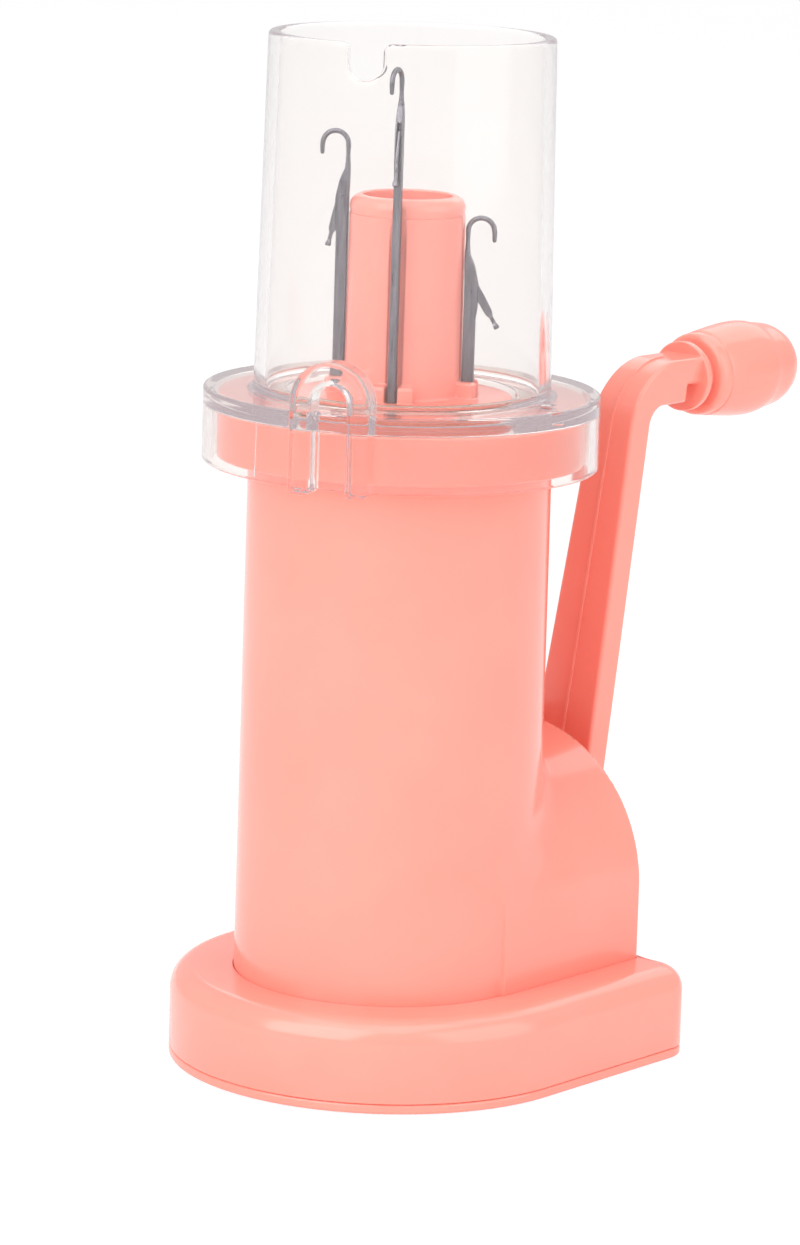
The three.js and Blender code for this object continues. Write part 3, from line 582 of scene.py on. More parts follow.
def tower_field(x, y, z):
    """The tower: column, hump and collar, a ledge under the deck, and inside it bores, boss, posts and peg holes."""
    rho = np.hypot(x, y)
    foot = COVER_TOP + GAP
    slope = (TOWER_FOOT - TOWER_NECK) / (COLLAR_BOTTOM - foot)
    column = rho - (TOWER_FOOT - slope * (z - foot))
    from_axis = np.where(z < CRANK_AXIS_Z, np.abs(x), np.hypot(x, z - CRANK_AXIS_Z))
    hump = soft_and(soft_and(from_axis - HUMP_HALF, y - HUMP_BACK, HUMP_EDGE), -y, 0.3)
    fillet = FILLET_LOW + FILLET_GAIN * smooth_step(z, FILLET_FROM, FILLET_TO)
    outside = soft_or(column, hump, fillet)
    outside = np.maximum(outside, z - TOWER_TOP)
    collar = soft_and(rho - COLLAR_RADIUS, span(z, COLLAR_BOTTOM, TOWER_TOP), 0.4)
    outside = soft_or(outside, collar, 0.3)
    ledge_wall = np.where(y < 0, rho - TOWER_FOOT, np.maximum(np.abs(x) - HUMP_HALF, y - HUMP_BACK)) - LEDGE_OUT
    ledge = np.maximum(np.maximum(ledge_wall, y - HUMP_BACK), span(z, LEDGE_BOTTOM, LEDGE_TOP))
    outside = np.maximum(np.minimum(outside, ledge), foot - z)
    room = np.maximum(np.maximum(from_axis - HUMP_HALF + HUMP_WALL, y - HUMP_BACK + HUMP_WALL), -1 - y)
    bore = np.minimum(np.maximum(rho - GEAR_BORE, z - SHELF), np.maximum(rho - BORE, SHELF - z))
    shell = soft_cut(outside, np.minimum(bore, room), 0.25)
    from_shaft = np.hypot(x, z - CRANK_AXIS_Z)
    shell = np.minimum(shell, np.maximum(from_shaft - BOSS_RADIUS, span(y, BOSS_FRONT, HUMP_BACK - 1)))
    for px, py in SCREW_PLACES:
        reach = np.hypot(x - px, y - py)
        post_top = FRONT_POST_TOP if py < 0 else BACK_POST_TOP
        shell = np.minimum(shell, np.maximum(reach - POST_RADIUS, span(z, foot, post_top)))
        shell = np.maximum(shell, -np.maximum(reach - PILOT_RADIUS, z - PILOT_TOP))
    shell = soft_cut(shell, np.maximum(from_shaft - SHAFT_HOLE, -y), 0.25)
    for side in (-1, 1):
        peg = np.maximum(np.hypot(x - side * PEG_X, y - PEG_Y) - PEG_HOLE, PEG_HOLE_BOTTOM - z)
        shell = np.maximum(shell, -peg)
    return shell


tower_r = ticks((12.0, 16.8, 0.6), (16.8, 18.4, 0.2), (18.4, 19.7, 0.45), (19.7, 21.0, 0.13), (21.0, 23.4, 0.5),
                (23.4, 24.3, 0.13), (24.3, 36.9, 0.6))
tower_z = ticks((2.4, 3.2, 0.2), (3.2, 22.0, 1.1), (22.0, 41.0, 0.5), (41.0, 43.0, 0.25), (43.0, 80.3, 2.5),
                (80.3, 81.6, 0.12), (81.6, 86.6, 1.2), (86.6, 87.7, 0.12))
HUMP_CORNER_DEGREES = 54.2
tower_spots = (0, HUMP_CORNER_DEGREES, 90, 180 - HUMP_CORNER_DEGREES, 180)
tower_turn = turn_ticks(1.95, 0.55, tower_spots, 5)
points, faces, normals = iso_mesh(tower_field, (tower_r, tower_turn, tower_z), polar_place, wrap=True)
make_piece("tower_body", points, faces, PINK, "frame", ["tower_shell"], normals=normals)

# ------------ clear guard

RIM_RADIUS, FOOT_RADIUS, GUARD_WALL, GUARD_TOP = 18.56, 19.42, 1.55, 136.0
PLATE_TOP, PLATE_BOTTOM, PLATE_HOLE = 89.9, 87.6, 15.0
SKIRT_RADIUS, SKIRT_WALL, SKIRT_BOTTOM = 25.95, 1.3, 80.1
NOTCH_HALF, NOTCH_BOTTOM = 2.35, 131.2
FEED_AZIMUTH = math.radians(21.5)
GUIDE_HALF, EYE_HALF, GUIDE_TOP, GUIDE_BOTTOM, GUIDE_INNER, GUIDE_OUTER = 5.35, 2.3, 96.9, 79.9, 24.75, 28.4


def guard_field(x, y, z):
    """The guard: a tapered tube with a notch, a cap with its skirt, the arched yarn guide, and two pegs below."""
    rho = np.hypot(x, y)
    across = x * math.cos(FEED_AZIMUTH) + y * math.sin(FEED_AZIMUTH)
    out = x * math.sin(FEED_AZIMUTH) - y * math.cos(FEED_AZIMUTH)
    radius = FOOT_RADIUS + (RIM_RADIUS - FOOT_RADIUS) * (z - PLATE_TOP) / (GUARD_TOP - PLATE_TOP)
    wall = np.abs(rho - radius + GUARD_WALL / 2) - GUARD_WALL / 2
    notch_centre = NOTCH_BOTTOM + NOTCH_HALF
    notch = np.where(z < notch_centre, np.hypot(across, z - notch_centre), np.abs(across)) - NOTCH_HALF
    notch = np.where(out > 0, notch, FAR_AWAY)
    tube = soft_and(wall, soft_and(z - GUARD_TOP, -notch, 1.0), 0.5)
    tube = np.maximum(tube, PLATE_BOTTOM + 0.5 - z)
    outer = soft_and(rho - SKIRT_RADIUS, span(z, SKIRT_BOTTOM, PLATE_TOP), 0.45)
    cavity = soft_and(rho - (SKIRT_RADIUS - SKIRT_WALL), z - PLATE_BOTTOM, 0.3)
    cap = soft_cut(outer, cavity, 0.3)
    solid = soft_or(cap, tube, 0.7)
    solid = soft_cut(solid, rho - PLATE_HOLE, 0.35)
    arch_centre = GUIDE_TOP - GUIDE_HALF
    from_arch = np.where(z > arch_centre, np.hypot(across, z - arch_centre), np.abs(across))
    band = soft_and(soft_cut(from_arch - GUIDE_HALF, from_arch - EYE_HALF, 0.5),
                    np.maximum(span(out, GUIDE_INNER, GUIDE_OUTER), GUIDE_BOTTOM - z), 0.6)
    solid = soft_or(solid, band, 0.35)
    gap = np.maximum(np.maximum(np.abs(across) - EYE_HALF, z - PLATE_BOTTOM), span(out, PLATE_HOLE, GUIDE_INNER + 1))
    solid = soft_cut(solid, gap, 0.15)
    for side in (-1, 1):
        reach = np.hypot(x - side * PEG_X, y - PEG_Y)
        peg = soft_and(reach - PEG_RADIUS, span(z, PEG_BOTTOM, PLATE_BOTTOM + 1), 0.2)
        solid = soft_or(solid, peg, 0.15)
        solid = soft_cut(solid, np.maximum(reach - PEG_RADIUS, PLATE_TOP - 0.5 - z), 0.12)
    return solid


guard_r = ticks((14.6, 15.6, 0.16), (15.6, 16.8, 0.6), (16.8, 19.8, 0.19), (19.8, 24.2, 0.5), (24.2, 26.3, 0.15),
                (26.3, 27.7, 0.35), (27.7, 29.0, 0.145))
guard_z = ticks((79.5, 81.0, 0.14), (81.0, 87.0, 0.8), (87.0, 90.9, 0.15), (90.9, 97.4, 0.3), (97.4, 130.4, 2.2),
                (130.4, 136.4, 0.24))
PEG_DEGREES = 11.05
feed_degrees = math.degrees(FEED_AZIMUTH) - 90
guard_spots = (feed_degrees, feed_degrees + 9, feed_degrees - 9, PEG_DEGREES, 180 - PEG_DEGREES)
guard_turn = turn_ticks(1.8, 0.45, guard_spots, 6)
points, faces, normals = iso_mesh(guard_field, (guard_r, guard_turn, guard_z), polar_place, wrap=True)
make_piece("guard_shell", points, faces, CLEAR, "frame", ["clear_guard"], normals=normals)

# ------------ needle cylinder

NEEDLE_AZIMUTHS = (31.75, -58.25, 121.75, 211.75)  # from -Y towards +X
LATCH_ANGLES = (20, 14, 30, 20)
HOOK_TWISTS = (-12, 0, 0, 0)
CYLINDER_TOP, TUBE_FOOT, TUBE_TOP, TUBE_BORE = 115.3, 7.65, 7.5, 5.8
DISC_RADIUS, DISC_BOTTOM, DISC_TOP = 14.4, 87.7, 89.3
HUB_OUTER, HUB_BOTTOM, HUB_TOP, HUB_BORE, HUB_BORE_TOP = 9.6, 33.8, 42, 8.35, 36.9
CROWN_RADIUS, CROWN_BOTTOM, CROWN_TOP, CROWN_TEETH = 16.9, 38.2, 41.2, 24
TOOTH_TIP, TOOTH_ROOT, TOOTH_INNER, TOOTH_OUTER = 36.2, 38.5, 13.1, 16.7
TIP_HALF, TOOTH_SPREAD, SPREAD_HEIGHT = 0.45, 0.3, 2
BARREL_RADIUS = 11.6
MOUTH_ROUND, STEP_BOTTOM, STEP_TOP, STEP_DEPTH = 1.55, 112.9, 113.35, 0.09
LUG_RADIUS, LUG_TOP, LUG_FROM, LUG_TO = 9.9, 91.4, math.radians(4.9), math.radians(17)
GROOVE_FLOOR, GROOVE_RISE, GROOVE_TOP, GROOVE_HALF = 6.95, 0.6, 113.2, 1.0
SLOT_HALF, SLOT_INNER, SLOT_OUTER, SLOT_BOTTOM = 0.75, 7.5, 9.65, 45.5
BUTT_INNER, BUTT_OUTER, BUTT_TOP = 8.6, 12.7, 86.7


def cylinder_field(x, y, z):
    """The needle cylinder: hub and crown gear below, a slotted barrel, the disc with its lugs, and the tube."""
    rho = np.hypot(x, y)
    angle = np.arctan2(y, x)
    hub = np.maximum(rho - HUB_OUTER, span(z, HUB_BOTTOM, HUB_TOP))
    crown = soft_and(rho - CROWN_RADIUS, span(z, CROWN_BOTTOM, CROWN_TOP), 0.2)
    pitch = FULL_TURN / CROWN_TEETH
    swing = (angle - math.pi / 2) % pitch - pitch / 2
    half = TIP_HALF + TOOTH_SPREAD * np.clip((z - TOOTH_TIP) / SPREAD_HEIGHT, 0, 1)
    tooth_place = np.maximum(span(z, TOOTH_TIP, TOOTH_ROOT), span(rho, TOOTH_INNER, TOOTH_OUTER))
    teeth = np.maximum(np.abs(swing) * rho - half, tooth_place)
    barrel = np.maximum(rho - BARREL_RADIUS, span(z, HUB_TOP - 1, DISC_BOTTOM + 0.5))
    disc = soft_and(rho - DISC_RADIUS, span(z, DISC_BOTTOM, DISC_TOP), 0.3)
    radius = TUBE_FOOT + (TUBE_TOP - TUBE_FOOT) * (z - DISC_TOP) / (CYLINDER_TOP - DISC_TOP)
    tube = soft_and(rho - radius, z - CYLINDER_TOP, MOUTH_ROUND)
    # a shallow moulded step where the rounded mouth starts
    tube = np.maximum(tube, -np.maximum(radius - STEP_DEPTH - rho, span(z, STEP_BOTTOM, STEP_TOP)))
    tube = np.maximum(tube, DISC_BOTTOM - z)
    solid = np.minimum(np.minimum(hub, crown), np.minimum(teeth, barrel))
    top = soft_or(disc, tube, 0.4)
    for azimuth in NEEDLE_AZIMUTHS:
        turn = math.radians(azimuth)
        out = x * math.sin(turn) - y * math.cos(turn)
        across = x * math.cos(turn) + y * math.sin(turn)
        beside = np.abs(np.arctan2(across, out))
        lug = soft_and(rho - LUG_RADIUS, span(z, DISC_BOTTOM, LUG_TOP), 0.5)
        lug = soft_and(lug, span(beside, LUG_FROM, LUG_TO) * rho, 0.3)
        top = soft_or(top, lug, 0.25)
        floor = GROOVE_FLOOR + GROOVE_RISE * smooth_step(z, 108.5, 113.0)
        groove = np.maximum(np.maximum(floor - out, out - SLOT_OUTER), span(z, LUG_TOP, GROOVE_TOP))
        top = soft_cut(top, soft_and(groove, np.abs(across) - GROOVE_HALF, 0.3), 0.2)
        slot = np.maximum(np.abs(across) - SLOT_HALF, np.maximum(span(out, SLOT_INNER, SLOT_OUTER), SLOT_BOTTOM - z))
        butt_room = np.maximum(span(out, BUTT_INNER, BUTT_OUTER), span(z, SLOT_BOTTOM, BUTT_TOP))
        deep = np.maximum(np.abs(across) - SLOT_HALF, butt_room)
        top = soft_cut(top, slot, 0.15)
        solid = np.maximum(solid, -np.minimum(slot, deep))
    solid = np.minimum(solid, top)
    solid = np.maximum(solid, -np.maximum(rho - HUB_BORE, z - HUB_BORE_TOP))
    return soft_cut(solid, rho - TUBE_BORE, 0.25)


cylinder_r = ticks((5.5, 6.3, 0.14), (6.3, 8.2, 0.16), (8.2, 10.1, 0.2), (10.1, 11.3, 0.4), (11.3, 11.9, 0.2),
                   (11.9, 14.0, 0.5), (14.0, 14.7, 0.12), (14.7, 16.5, 0.4), (16.5, 17.2, 0.2))
cylinder_z = ticks((33.3, 34.3, 0.3), (34.3, 42.0, 0.45), (42.0, 45.0, 1), (45.0, 46.0, 0.3), (46.0, 86.4, 3.4),
                   (86.4, 92.0, 0.17), (92.0, 112.2, 1.5), (112.2, 115.6, 0.13))
cylinder_spots = [azimuth - 90 for azimuth in NEEDLE_AZIMUTHS]
cylinder_turn = turn_ticks(2.2, 0.95, cylinder_spots, 19)
points, faces, normals = iso_mesh(cylinder_field, (cylinder_r, cylinder_turn, cylinder_z), polar_place, wrap=True)
make_piece("cylinder_body", points, faces, PINK, "cylinder", ["needle_cylinder"], normals=normals)

# ------------ crank arm

CRANK_FRONT, CRANK_BACK, HUB_FRONT, HUB_RADIUS = 33.0, 37.2, 29.4, 5.6
STUB_TOP, STUB_BOTTOM, STUB_BACK, STEP = 91.25, 85.2, 44.5, 87.6
FLANGE_FRONT, FLANGE_BACK, FLANGE_RADIUS = 46.9, 48.0, 4.75
BEND_OUTER, BEND_INNER = 8.5, 2.5
KNOB_X, KNOB_Z = 9.61, 88.2
LEFT_START, LEFT_LEAN, RIGHT_START, RIGHT_LEAN = -5.69, 0.178, 5.48, 0.114
LEFT_SQUARE, RIGHT_SQUARE = 0.985, 0.994  # cosines of the leans, which turn widths into distances
RIB_HALF, RIB_PROUD, RIB_START = 0.22, 0.22, 5.2
AXLE_RADIUS, AXLE_END, AXLE_PILOT, AXLE_PILOT_START = 2.9, 66.0, 1.3, 58.0
SOCKET_RADIUS, SOCKET_FRONT, SOCKET_FLAT, SOCKET_WEB, SCREW_SEAT = 2.8, 35.6, 2.3, 34.3, 34.0


def crank_sides(z):
    """Where the arm's two leaning sides are, across, at a height."""
    up = z - CRANK_AXIS_Z
    return LEFT_START + LEFT_LEAN * up, RIGHT_START + RIGHT_LEAN * up


def crank_place(a, b, c):
    """Grid columns follow the arm's leaning sides."""
    left, right = crank_sides(np.maximum(c, CRANK_AXIS_Z))
    return (left + right) / 2 + a * (right - left) / 2, b, c


def crank_field(x, y, z):
    """The crank: a bent arm with a rib, its hub, the knob's flange and axle, and the holes for shaft and screws."""
    left, right = crank_sides(z)
    across = np.maximum((left - x) * LEFT_SQUARE, (x - right) * RIGHT_SQUARE)
    outer = soft_and(CRANK_FRONT - y, z - STUB_TOP, BEND_OUTER)
    hollow = soft_and(CRANK_BACK - y, z - STUB_BOTTOM, BEND_INNER)
    profile = np.maximum(soft_and(outer, -hollow, 0.01), y - FLANGE_FRONT - 0.3)
    profile = soft_and(profile, np.minimum(y - STUB_BACK, STEP - z), 0.25)
    middle = (left + right) / 2
    arm = soft_and(across, profile, 0.55)
    rib = np.maximum(np.abs(x - middle) - RIB_HALF, np.maximum(outer - RIB_PROUD, -hollow))
    rib = np.maximum(rib, np.maximum(y - STUB_BACK + 2, CRANK_AXIS_Z + RIB_START - z))
    arm = soft_or(arm, rib, 0.12)
    arm = np.maximum(arm, CRANK_AXIS_Z - z)
    from_shaft = np.hypot(x, z - CRANK_AXIS_Z)
    hub = soft_and(from_shaft - HUB_RADIUS, span(y, HUB_FRONT, CRANK_BACK), 0.4)
    solid = soft_or(arm, hub, 0.2)
    from_knob = np.hypot(x - KNOB_X, z - KNOB_Z)
    flange = soft_and(from_knob - FLANGE_RADIUS, span(y, FLANGE_FRONT, FLANGE_BACK), 0.22)
    solid = soft_or(solid, flange, 0.15)
    solid = np.minimum(solid, np.maximum(from_knob - AXLE_RADIUS, span(y, FLANGE_BACK - 0.5, AXLE_END)))
    solid = soft_cut(solid, np.maximum(from_shaft - SOCKET_RADIUS, SOCKET_FRONT - y), 0.2)
    solid = np.maximum(solid, -np.maximum(from_shaft - SCREW_HOLE, SCREW_SEAT - y))
    flats = np.maximum(np.maximum(from_shaft - SOCKET_RADIUS, np.abs(x) - SOCKET_FLAT), y - SOCKET_WEB)
    solid = soft_cut(solid, flats, 0.15)
    return np.maximum(solid, -np.maximum(from_knob - AXLE_PILOT, AXLE_PILOT_START - y))


crank_a = ticks((-2.05, -1.15, 0.12), (-1.15, -0.82, 0.035), (-0.82, -0.15, 0.1), (-0.15, 0.15, 0.022),
                (0.15, 0.82, 0.1), (0.82, 1.15, 0.035), (1.15, 2.05, 0.12))
crank_y = ticks((29.0, 30.0, 0.2), (30.0, 32.4, 0.6), (32.4, 34.0, 0.14), (34.0, 36.4, 0.3), (36.4, 37.6, 0.14),
                (37.6, 44.0, 0.4), (44.0, 45.0, 0.14), (45.0, 46.6, 0.3), (46.6, 48.2, 0.11), (48.2, 66.5, 1.2))
crank_z = ticks((15.6, 28.0, 0.3), (28.0, 82.0, 0.9), (82.0, 84.6, 0.3), (84.6, 93.3, 0.2))
points, faces, normals = iso_mesh(crank_field, (crank_a, crank_y, crank_z), crank_place)
make_piece("crank_body", points, faces, PINK, "crank", ["crank_arm"], normals=normals)

# ------------ knob


def knob_place(radius, along, turns):
    """Points round the knob's axis, which runs along Y."""
    return (KNOB_X + radius * np.sin(turns), np.full_like(turns, along), KNOB_Z + radius * np.cos(turns))


KNOB_SEGMENTS = 96
KNOB_PROFILE = [
    # radius, place along the axle, rounding; from the mouth, over the grip and its end, into the screw's recess
    (3.2, 48.15, 0.1), (3.7, 48.15, 0.1), (3.7, 49.4, 0.2), (5.5, 49.4, 0.9), (5.68, 50.9, 0.1), (5.66, 51.3, 0),
    (5.61, 51.42, 0), (5.8, 51.7, 0.2), (6.1, 54, 0), (6.28, 55.6, 0), (6.42, 57, 0), (6.5, 58.3, 0),
    (6.52, 59.3, 0), (6.48, 60.2, 0), (6.4, 60.9, 0.4), (6.15, 62, 0.4), (6.0, 63, 0), (5.9, 64, 0), (5.75, 65.0, 0),
    (5.5, 65.8, 0.8), (5.0, 66.9, 0.8), (4.2, 68.0, 0.8), (3.1, 68.7, 0.5), (2.35, 68.95, 0.3), (2.35, 66.9, 0.1),
    (1.35, 66.9, 0.1), (1.35, 66.3, 0.1), (3.2, 66.3, 0),
]
points, faces = lathe(rounded_profile(KNOB_PROFILE), KNOB_SEGMENTS, knob_place)
make_piece("knob_body", points, faces, PINK, "grip", ["knob"], sharp=50)

# ------------ needles

HOOK_CENTRE, HOOK_RADIUS, WIRE = 9.7, 1.7, 0.33
PIVOT_REACH, PIVOT_DROP = 8.75, -8.7
NEEDLE_BOTTOM, NECK, HOOK_START, STEM_TOP = -61.5, -4.6, -6.2, -6.0
BUTT_START, BUTT_END, BUTT_HALF, BUTT_MIDDLE, BUTT_RISE = 8.5, 12.25, 0.5, -60, 1
CHEEK_INNER, CHEEK_GAP, CHEEK_BOTTOM, CHEEK_TOP = 8.05, 0.25, -13.2, -7.2
TIP_LOW, TIP_OUT = -3.2, 0.04


def needle_field(x, y, z):
    """x is the distance from the tower's axis, y the blade's thickness, z = 0 the hook's crest."""
    # the stem widens from the hook's neck to the latch cheeks, then runs down square
    inner = np.interp(z, [NEEDLE_BOTTOM, -8.7, -6.6, -5.0, 0], [7.75, 7.75, 7.68, 7.68, 7.68])
    outer = np.interp(z, [NEEDLE_BOTTOM, -13.4, -12.0, -8.9, -6.6, -5.0, 0], [9.3, 9.3, 9.5, 9.5, 9.0, 8.33, 8.33])
    half = np.interp(z, [NEEDLE_BOTTOM, -6.6, NECK, 0], [0.5, 0.5, 0.34, 0.3])
    section = soft_and(np.maximum(inner - x, x - outer), np.abs(y) - half, 0.14)
    blade = np.maximum(section, span(z, NEEDLE_BOTTOM, NECK))
    butt_side = np.maximum(np.abs(y) - BUTT_HALF, np.abs(z - BUTT_MIDDLE) - BUTT_RISE)
    blade = np.minimum(blade, np.maximum(span(x, BUTT_START, BUTT_END), butt_side))
    slot = np.maximum(np.maximum(CHEEK_INNER - x, np.abs(y) - CHEEK_GAP), span(z, CHEEK_BOTTOM, CHEEK_TOP))
    blade = soft_cut(blade, slot, 0.06)
    crest = -HOOK_RADIUS - WIRE
    bend = np.abs(np.hypot(x - HOOK_CENTRE, z - crest) - HOOK_RADIUS)
    stem = np.abs(x - (HOOK_CENTRE - HOOK_RADIUS))
    tip_x = HOOK_CENTRE + HOOK_RADIUS + TIP_OUT
    tip = np.hypot(x - tip_x, z - np.clip(z, TIP_LOW, crest))
    flat = np.where(z > crest, bend, np.minimum(np.where(z > HOOK_START, stem, FAR_AWAY), tip))
    wire = np.interp(z, [STEM_TOP, -4.5, -3.3, crest, 0], [0.36, WIRE, 0.27, WIRE, WIRE])
    wire = np.where((z < crest) & (x > HOOK_CENTRE), np.interp(z, [-3.6, crest], [0.24, WIRE]), wire)
    hook = np.hypot(flat, y) - wire
    return soft_or(blade, hook, 0.12)


LATCH_BOTTOM, LATCH_TOP, PIVOT_HOLE = -6.8, 0.45, 0.4
SPOON_X, SPOON_Z, SPOON_RADIUS, SPOON_STRETCH = -0.32, -6.4, 0.26, 0.6


def latch_field(x, y, z):
    """The latch hanging straight down from its pivot at x = z = 0: a plate, then a narrow tongue with a spoon end."""
    half = np.interp(z, [-6.9, -6.5, -6.0, -5.1, -4.5, -2.4, 0, 0.5], [0.34, 0.36, 0.24, 0.24, 0.5, 0.56, 0.5, 0.4])
    thick = np.interp(z, [-6.9, -6.4, -5.9, -5.2, -4.6, 0.5], [0.3, 0.34, 0.2, 0.2, 0.18, 0.18])
    plate = soft_and(np.abs(x) - half, np.abs(y) - thick, 0.08)
    plate = soft_and(plate, span(z, LATCH_BOTTOM, LATCH_TOP), 0.1)
    spoon = np.sqrt((x - SPOON_X) ** 2 + y**2 + ((z - SPOON_Z) * SPOON_STRETCH) ** 2) - SPOON_RADIUS
    plate = soft_cut(plate, spoon, 0.04)
    return np.maximum(plate, PIVOT_HOLE - np.hypot(x, z))


def needle_turn(azimuth, height):
    """Places local points: x away from the tower's axis at an azimuth, z up from the hook's crest."""
    angle = math.radians(azimuth)
    way, side = (math.sin(angle), -math.cos(angle)), (math.cos(angle), math.sin(angle))

    def place(points):
        x, y, z = np.asarray(points).T
        return np.stack([x * way[0] + y * side[0], x * way[1] + y * side[1], z + height], axis=1)

    return place


RIVET_RADIUS, RIVET_HALF, RIVET_ROUND, RIVET_SEGMENTS = 0.34, 0.56, 0.14, 20


def rivet_mesh():
    corners = [(0, -RIVET_HALF, 0), (RIVET_RADIUS, -RIVET_HALF, RIVET_ROUND),
               (RIVET_RADIUS, RIVET_HALF, RIVET_ROUND), (0, RIVET_HALF, 0)]
    profile = rounded_profile(corners, 4)

    def place(radius, along, turns):
        return (PIVOT_REACH + radius * np.cos(turns), np.full_like(turns, along), PIVOT_DROP - radius * np.sin(turns))

    return lathe(profile[1:-1], RIVET_SEGMENTS, place, closed=False)


needle_x = ticks((7.45, 10.0, 0.085), (10.0, 12.5, 0.1))
needle_y = ticks((-0.66, 0.66, 0.073))
needle_z = ticks((-61.8, -58.6, 0.25), (-58.6, -14.0, 3.0), (-14.0, 0.2, 0.1))
needle_points, needle_faces, needle_normals = iso_mesh(needle_field, (needle_x, needle_y, needle_z))
latch_grid = (ticks((-0.72, 0.72, 0.06)), ticks((-0.45, 0.45, 0.05)), ticks((-7.0, 0.6, 0.07)))
latch_points, latch_faces, latch_normals = iso_mesh(latch_field, latch_grid)
rivet_points, rivet_faces = rivet_mesh()

TWIST_FROM, TWIST_TO = -6.8, -4.2


def twisted(points, normals, degrees):
    """Turns the hook, above the latch cheeks, a little about the stem: a hand-bent hook seldom stands true."""
    turn = math.radians(degrees) * smooth_step(points[:, 2], TWIST_FROM, TWIST_TO)
    cosine, sine = np.cos(turn), np.sin(turn)
    stem = HOOK_CENTRE - HOOK_RADIUS
    x, y = points[:, 0] - stem, points[:, 1]
    moved = np.stack([stem + x * cosine - y * sine, x * sine + y * cosine, points[:, 2]], axis=1)
    nx, ny = normals[:, 0], normals[:, 1]
    return moved, np.stack([nx * cosine - ny * sine, nx * sine + ny * cosine, normals[:, 2]], axis=1)


for i, azimuth in enumerate(NEEDLE_AZIMUTHS):
    number = i + 1
    height = box_mm(f"needle_{number}")[1].z
    bent_points, bent_normals = twisted(needle_points, needle_normals, HOOK_TWISTS[i])
    put = needle_turn(azimuth, height)
    spin = needle_turn(azimuth, 0)
    make_piece(f"needle_body_{number}", put(bent_points), needle_faces, NEEDLE_STEEL, f"needle_body_{number}",
               [f"needle_{number}"], normals=spin(bent_normals))
    make_piece(f"rivet_body_{number}", put(rivet_points), rivet_faces, NEEDLE_STEEL, f"needle_body_{number}",
               [f"rivet_{number}"], sharp=60)
    swing = math.radians(LATCH_ANGLES[i])
    turn = np.array([[math.cos(swing), 0, -math.sin(swing)], [0, 1, 0], [math.sin(swing), 0, math.cos(swing)]])
    open_points = latch_points @ turn.T + [PIVOT_REACH, 0, PIVOT_DROP]
    make_piece(f"latch_body_{number}", put(open_points), latch_faces, NEEDLE_STEEL, f"latch_body_{number}",
               [f"latch_{number}"], normals=spin(latch_normals @ turn.T))

# ------------ finishes of the carried-over CAD nodes

CARRIED = {
    "cam_lower": NYLON, "cam_upper": NYLON, "shaft_bush": NYLON, "drive_gear": NYLON, "thrust_washer": ZINC,
    "crank_shaft": ZINC, "crank_screw": ZINC, "knob_screw": ZINC, "cover_screw_1": ZINC, "cover_screw_2": ZINC,
    "cover_screw_3": ZINC, "cover_screw_4": ZINC,
}
for node, material in CARRIED.items():
    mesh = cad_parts[node].data
    mesh.materials.clear()
    mesh.materials.append(material)

# ------------ stage, lights and camera

WORLD_LIGHT = 0.46
MIRROR_SHARE = 0.5
FLOOR_GLOW = 0.88
FLOOR_BRIGHTNESS = 1.06
FLOOR_REACH, FLOOR_DROP = 4.0, 0.0002  # metres; the drop keeps the floor clear of the foot's underside
STUDIO_LIGHTS = [
    # name, azimuth from -Y towards +X and elevation in degrees, size in metres, power in watts
    ("key", 0, 32, (1.0, 1.0), 9.1),
    ("top", 20, 78, (1.0, 1.0), 5.0),
    ("side", 100, 24, (1.1, 1.1), 5.4),
    ("back", 205, 48, (1.1, 1.1), 3.8),
]
LIGHT_DISTANCE, LIGHT_AIM = 1.1, 0.06


def seen_share(nodes, links):
    """1 where a thing is seen, straight or through clear plastic, part way in a mirror image, 0 as a light."""
    path = nodes.new("ShaderNodeLightPath")
    straight = math_node(nodes, links, "MAXIMUM", path.outputs["Is Camera Ray"], path.outputs["Is Transmission Ray"])
    mirrored = math_node(nodes, links, "MULTIPLY", path.outputs["Is Glossy Ray"], MIRROR_SHARE)
    seen = math_node(nodes, links, "MAXIMUM", straight, mirrored)
    first = math_node(nodes, links, "LESS_THAN", path.outputs["Diffuse Depth"], 0.5)
    return math_node(nodes, links, "MULTIPLY", seen, first)


def stage_floor():
    """White paper, which glows just enough to stay white and keep a faint shadow."""
    material, nodes, links, shader = new_material("floor_paper")
    place = texture_place(nodes, links)
    clouds = noise(nodes, links, place, 6, 3)
    shades = [(0.3, (0.92, 0.92, 0.92)), (0.7, (0.95, 0.95, 0.95))]
    links.new(colour_ramp(nodes, links, clouds, shades), shader.inputs["Base Color"])
    links.new(map_range(nodes, links, clouds, 0.8, 0.9), shader.inputs["Roughness"])
    glow = nodes.new("ShaderNodeEmission")
    glow.inputs["Strength"].default_value = FLOOR_BRIGHTNESS
    mix = nodes.new("ShaderNodeMixShader")
    share = map_range(nodes, links, seen_share(nodes, links), 0, FLOOR_GLOW, 0, 1)
    links.new(share, mix.inputs["Fac"])
    links.new(shader.outputs["BSDF"], mix.inputs[1])
    links.new(glow.outputs["Emission"], mix.inputs[2])
    links.new(mix.outputs["Shader"], nodes["Material Output"].inputs["Surface"])
    mesh = bpy.data.meshes.new("floor")
    corners = [(FLOOR_REACH * x, FLOOR_REACH * y, 0) for x, y in ((-1, -1), (1, -1), (1, 1), (-1, 1))]
    mesh.from_pydata(corners, [], [(0, 1, 2, 3)])
    mesh.materials.append(material)
    floor = bpy.data.objects.new("floor", mesh)
    floor.location.z = -FLOOR_DROP
    bpy.context.scene.collection.objects.link(floor)


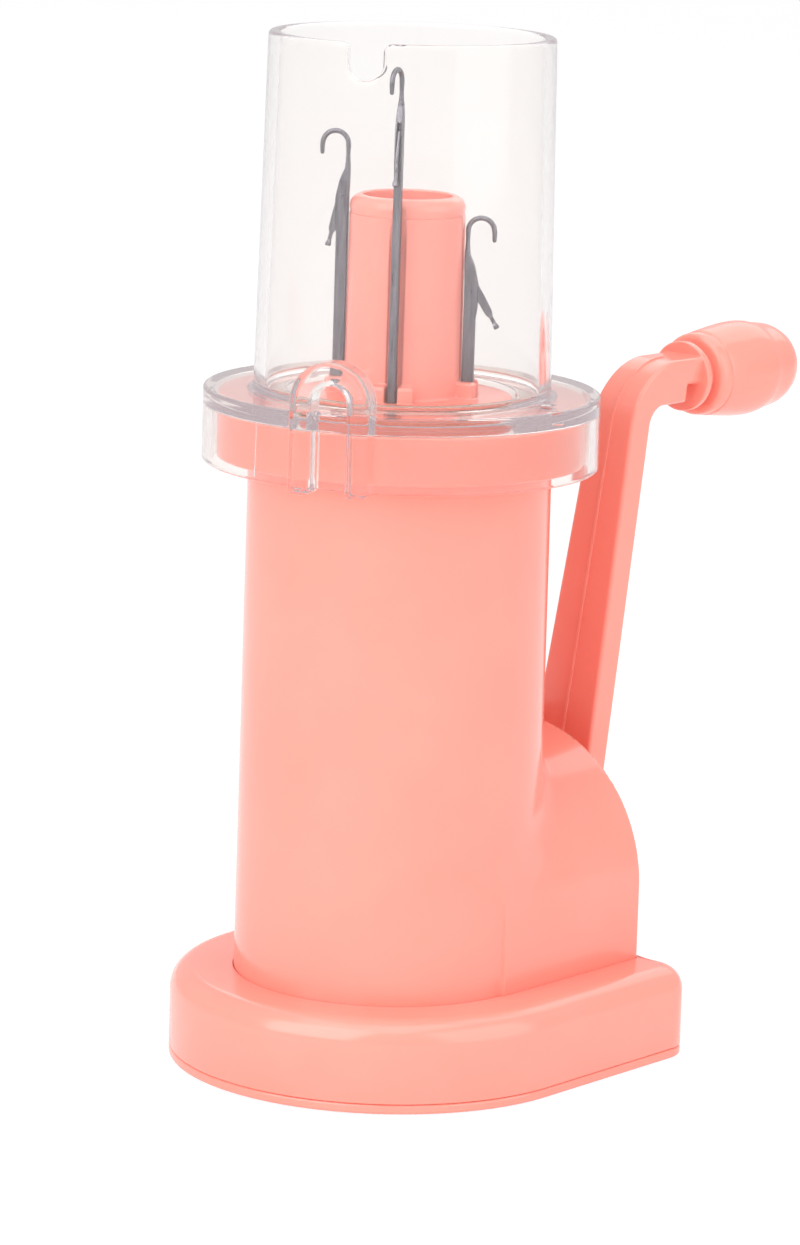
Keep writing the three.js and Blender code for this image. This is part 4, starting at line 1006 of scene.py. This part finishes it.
def soft_light(name, azimuth, elevation, size, power):
    """A square area light, aimed at a point a little above the foot."""
    data = bpy.data.lights.new(name, "AREA")
    data.shape = "RECTANGLE"
    data.size, data.size_y = size
    data.energy = power
    turn, tilt = math.radians(azimuth), math.radians(elevation)
    away = Vector((math.sin(turn) * math.cos(tilt), -math.cos(turn) * math.cos(tilt), math.sin(tilt)))
    light = bpy.data.objects.new(name, data)
    light.location = away * LIGHT_DISTANCE + Vector((0, 0, LIGHT_AIM))
    light.rotation_euler = (-away).to_track_quat("-Z", "Y").to_euler()
    bpy.context.scene.collection.objects.link(light)


def studio():
    """A white surround and four soft lights, shown without a film look."""
    world = bpy.data.worlds.new("studio")
    bpy.context.scene.world = world
    world.use_nodes = True
    nodes, links = world.node_tree.nodes, world.node_tree.links
    background = nodes["Background"]
    background.inputs["Color"].default_value = (1, 1, 1, 1)
    strength = map_range(nodes, links, seen_share(nodes, links), WORLD_LIGHT, 1.0, 0, 1)
    links.new(strength, background.inputs["Strength"])
    for name, azimuth, elevation, size, power in STUDIO_LIGHTS:
        soft_light(name, azimuth, elevation, size, power)
    bpy.context.scene.view_settings.view_transform = "Standard"
    bpy.context.scene.view_settings.look = "None"


CAMERA_AZIMUTH, CAMERA_DISTANCE, CAMERA_HEIGHT = 0.706, 0.658467, 0.190857
CAMERA_YAW, CAMERA_PITCH, CAMERA_ROLL = -0.001, 0.198, 0.031
CAMERA_LENS, CAMERA_SENSOR = 147.69, 36


def camera():
    """The photo's viewpoint, as fitted to the object's outlines: place in metres, turns in radians."""
    data = bpy.data.cameras.new("camera")
    data.lens = CAMERA_LENS
    data.sensor_width = CAMERA_SENSOR
    data.sensor_fit = "AUTO"
    data.clip_start, data.clip_end = 0.01, 20
    cam = bpy.data.objects.new("camera", data)
    cam.location = AXIS + Vector((CAMERA_DISTANCE * math.sin(CAMERA_AZIMUTH),
                                  -CAMERA_DISTANCE * math.cos(CAMERA_AZIMUTH), CAMERA_HEIGHT))
    turn = CAMERA_AZIMUTH + CAMERA_YAW
    right = Vector((math.cos(turn), math.sin(turn), 0))
    ahead = Vector((-math.sin(turn) * math.cos(CAMERA_PITCH), math.cos(turn) * math.cos(CAMERA_PITCH),
                    -math.sin(CAMERA_PITCH)))
    up = right.cross(ahead)
    rolled_right = right * math.cos(CAMERA_ROLL) + up * math.sin(CAMERA_ROLL)
    rolled_up = up * math.cos(CAMERA_ROLL) - right * math.sin(CAMERA_ROLL)
    basis = Matrix((rolled_right, rolled_up, -ahead)).transposed()
    cam.rotation_euler = basis.to_euler()
    bpy.context.scene.collection.objects.link(cam)
    bpy.context.scene.camera = cam


stage_floor()
studio()
camera()
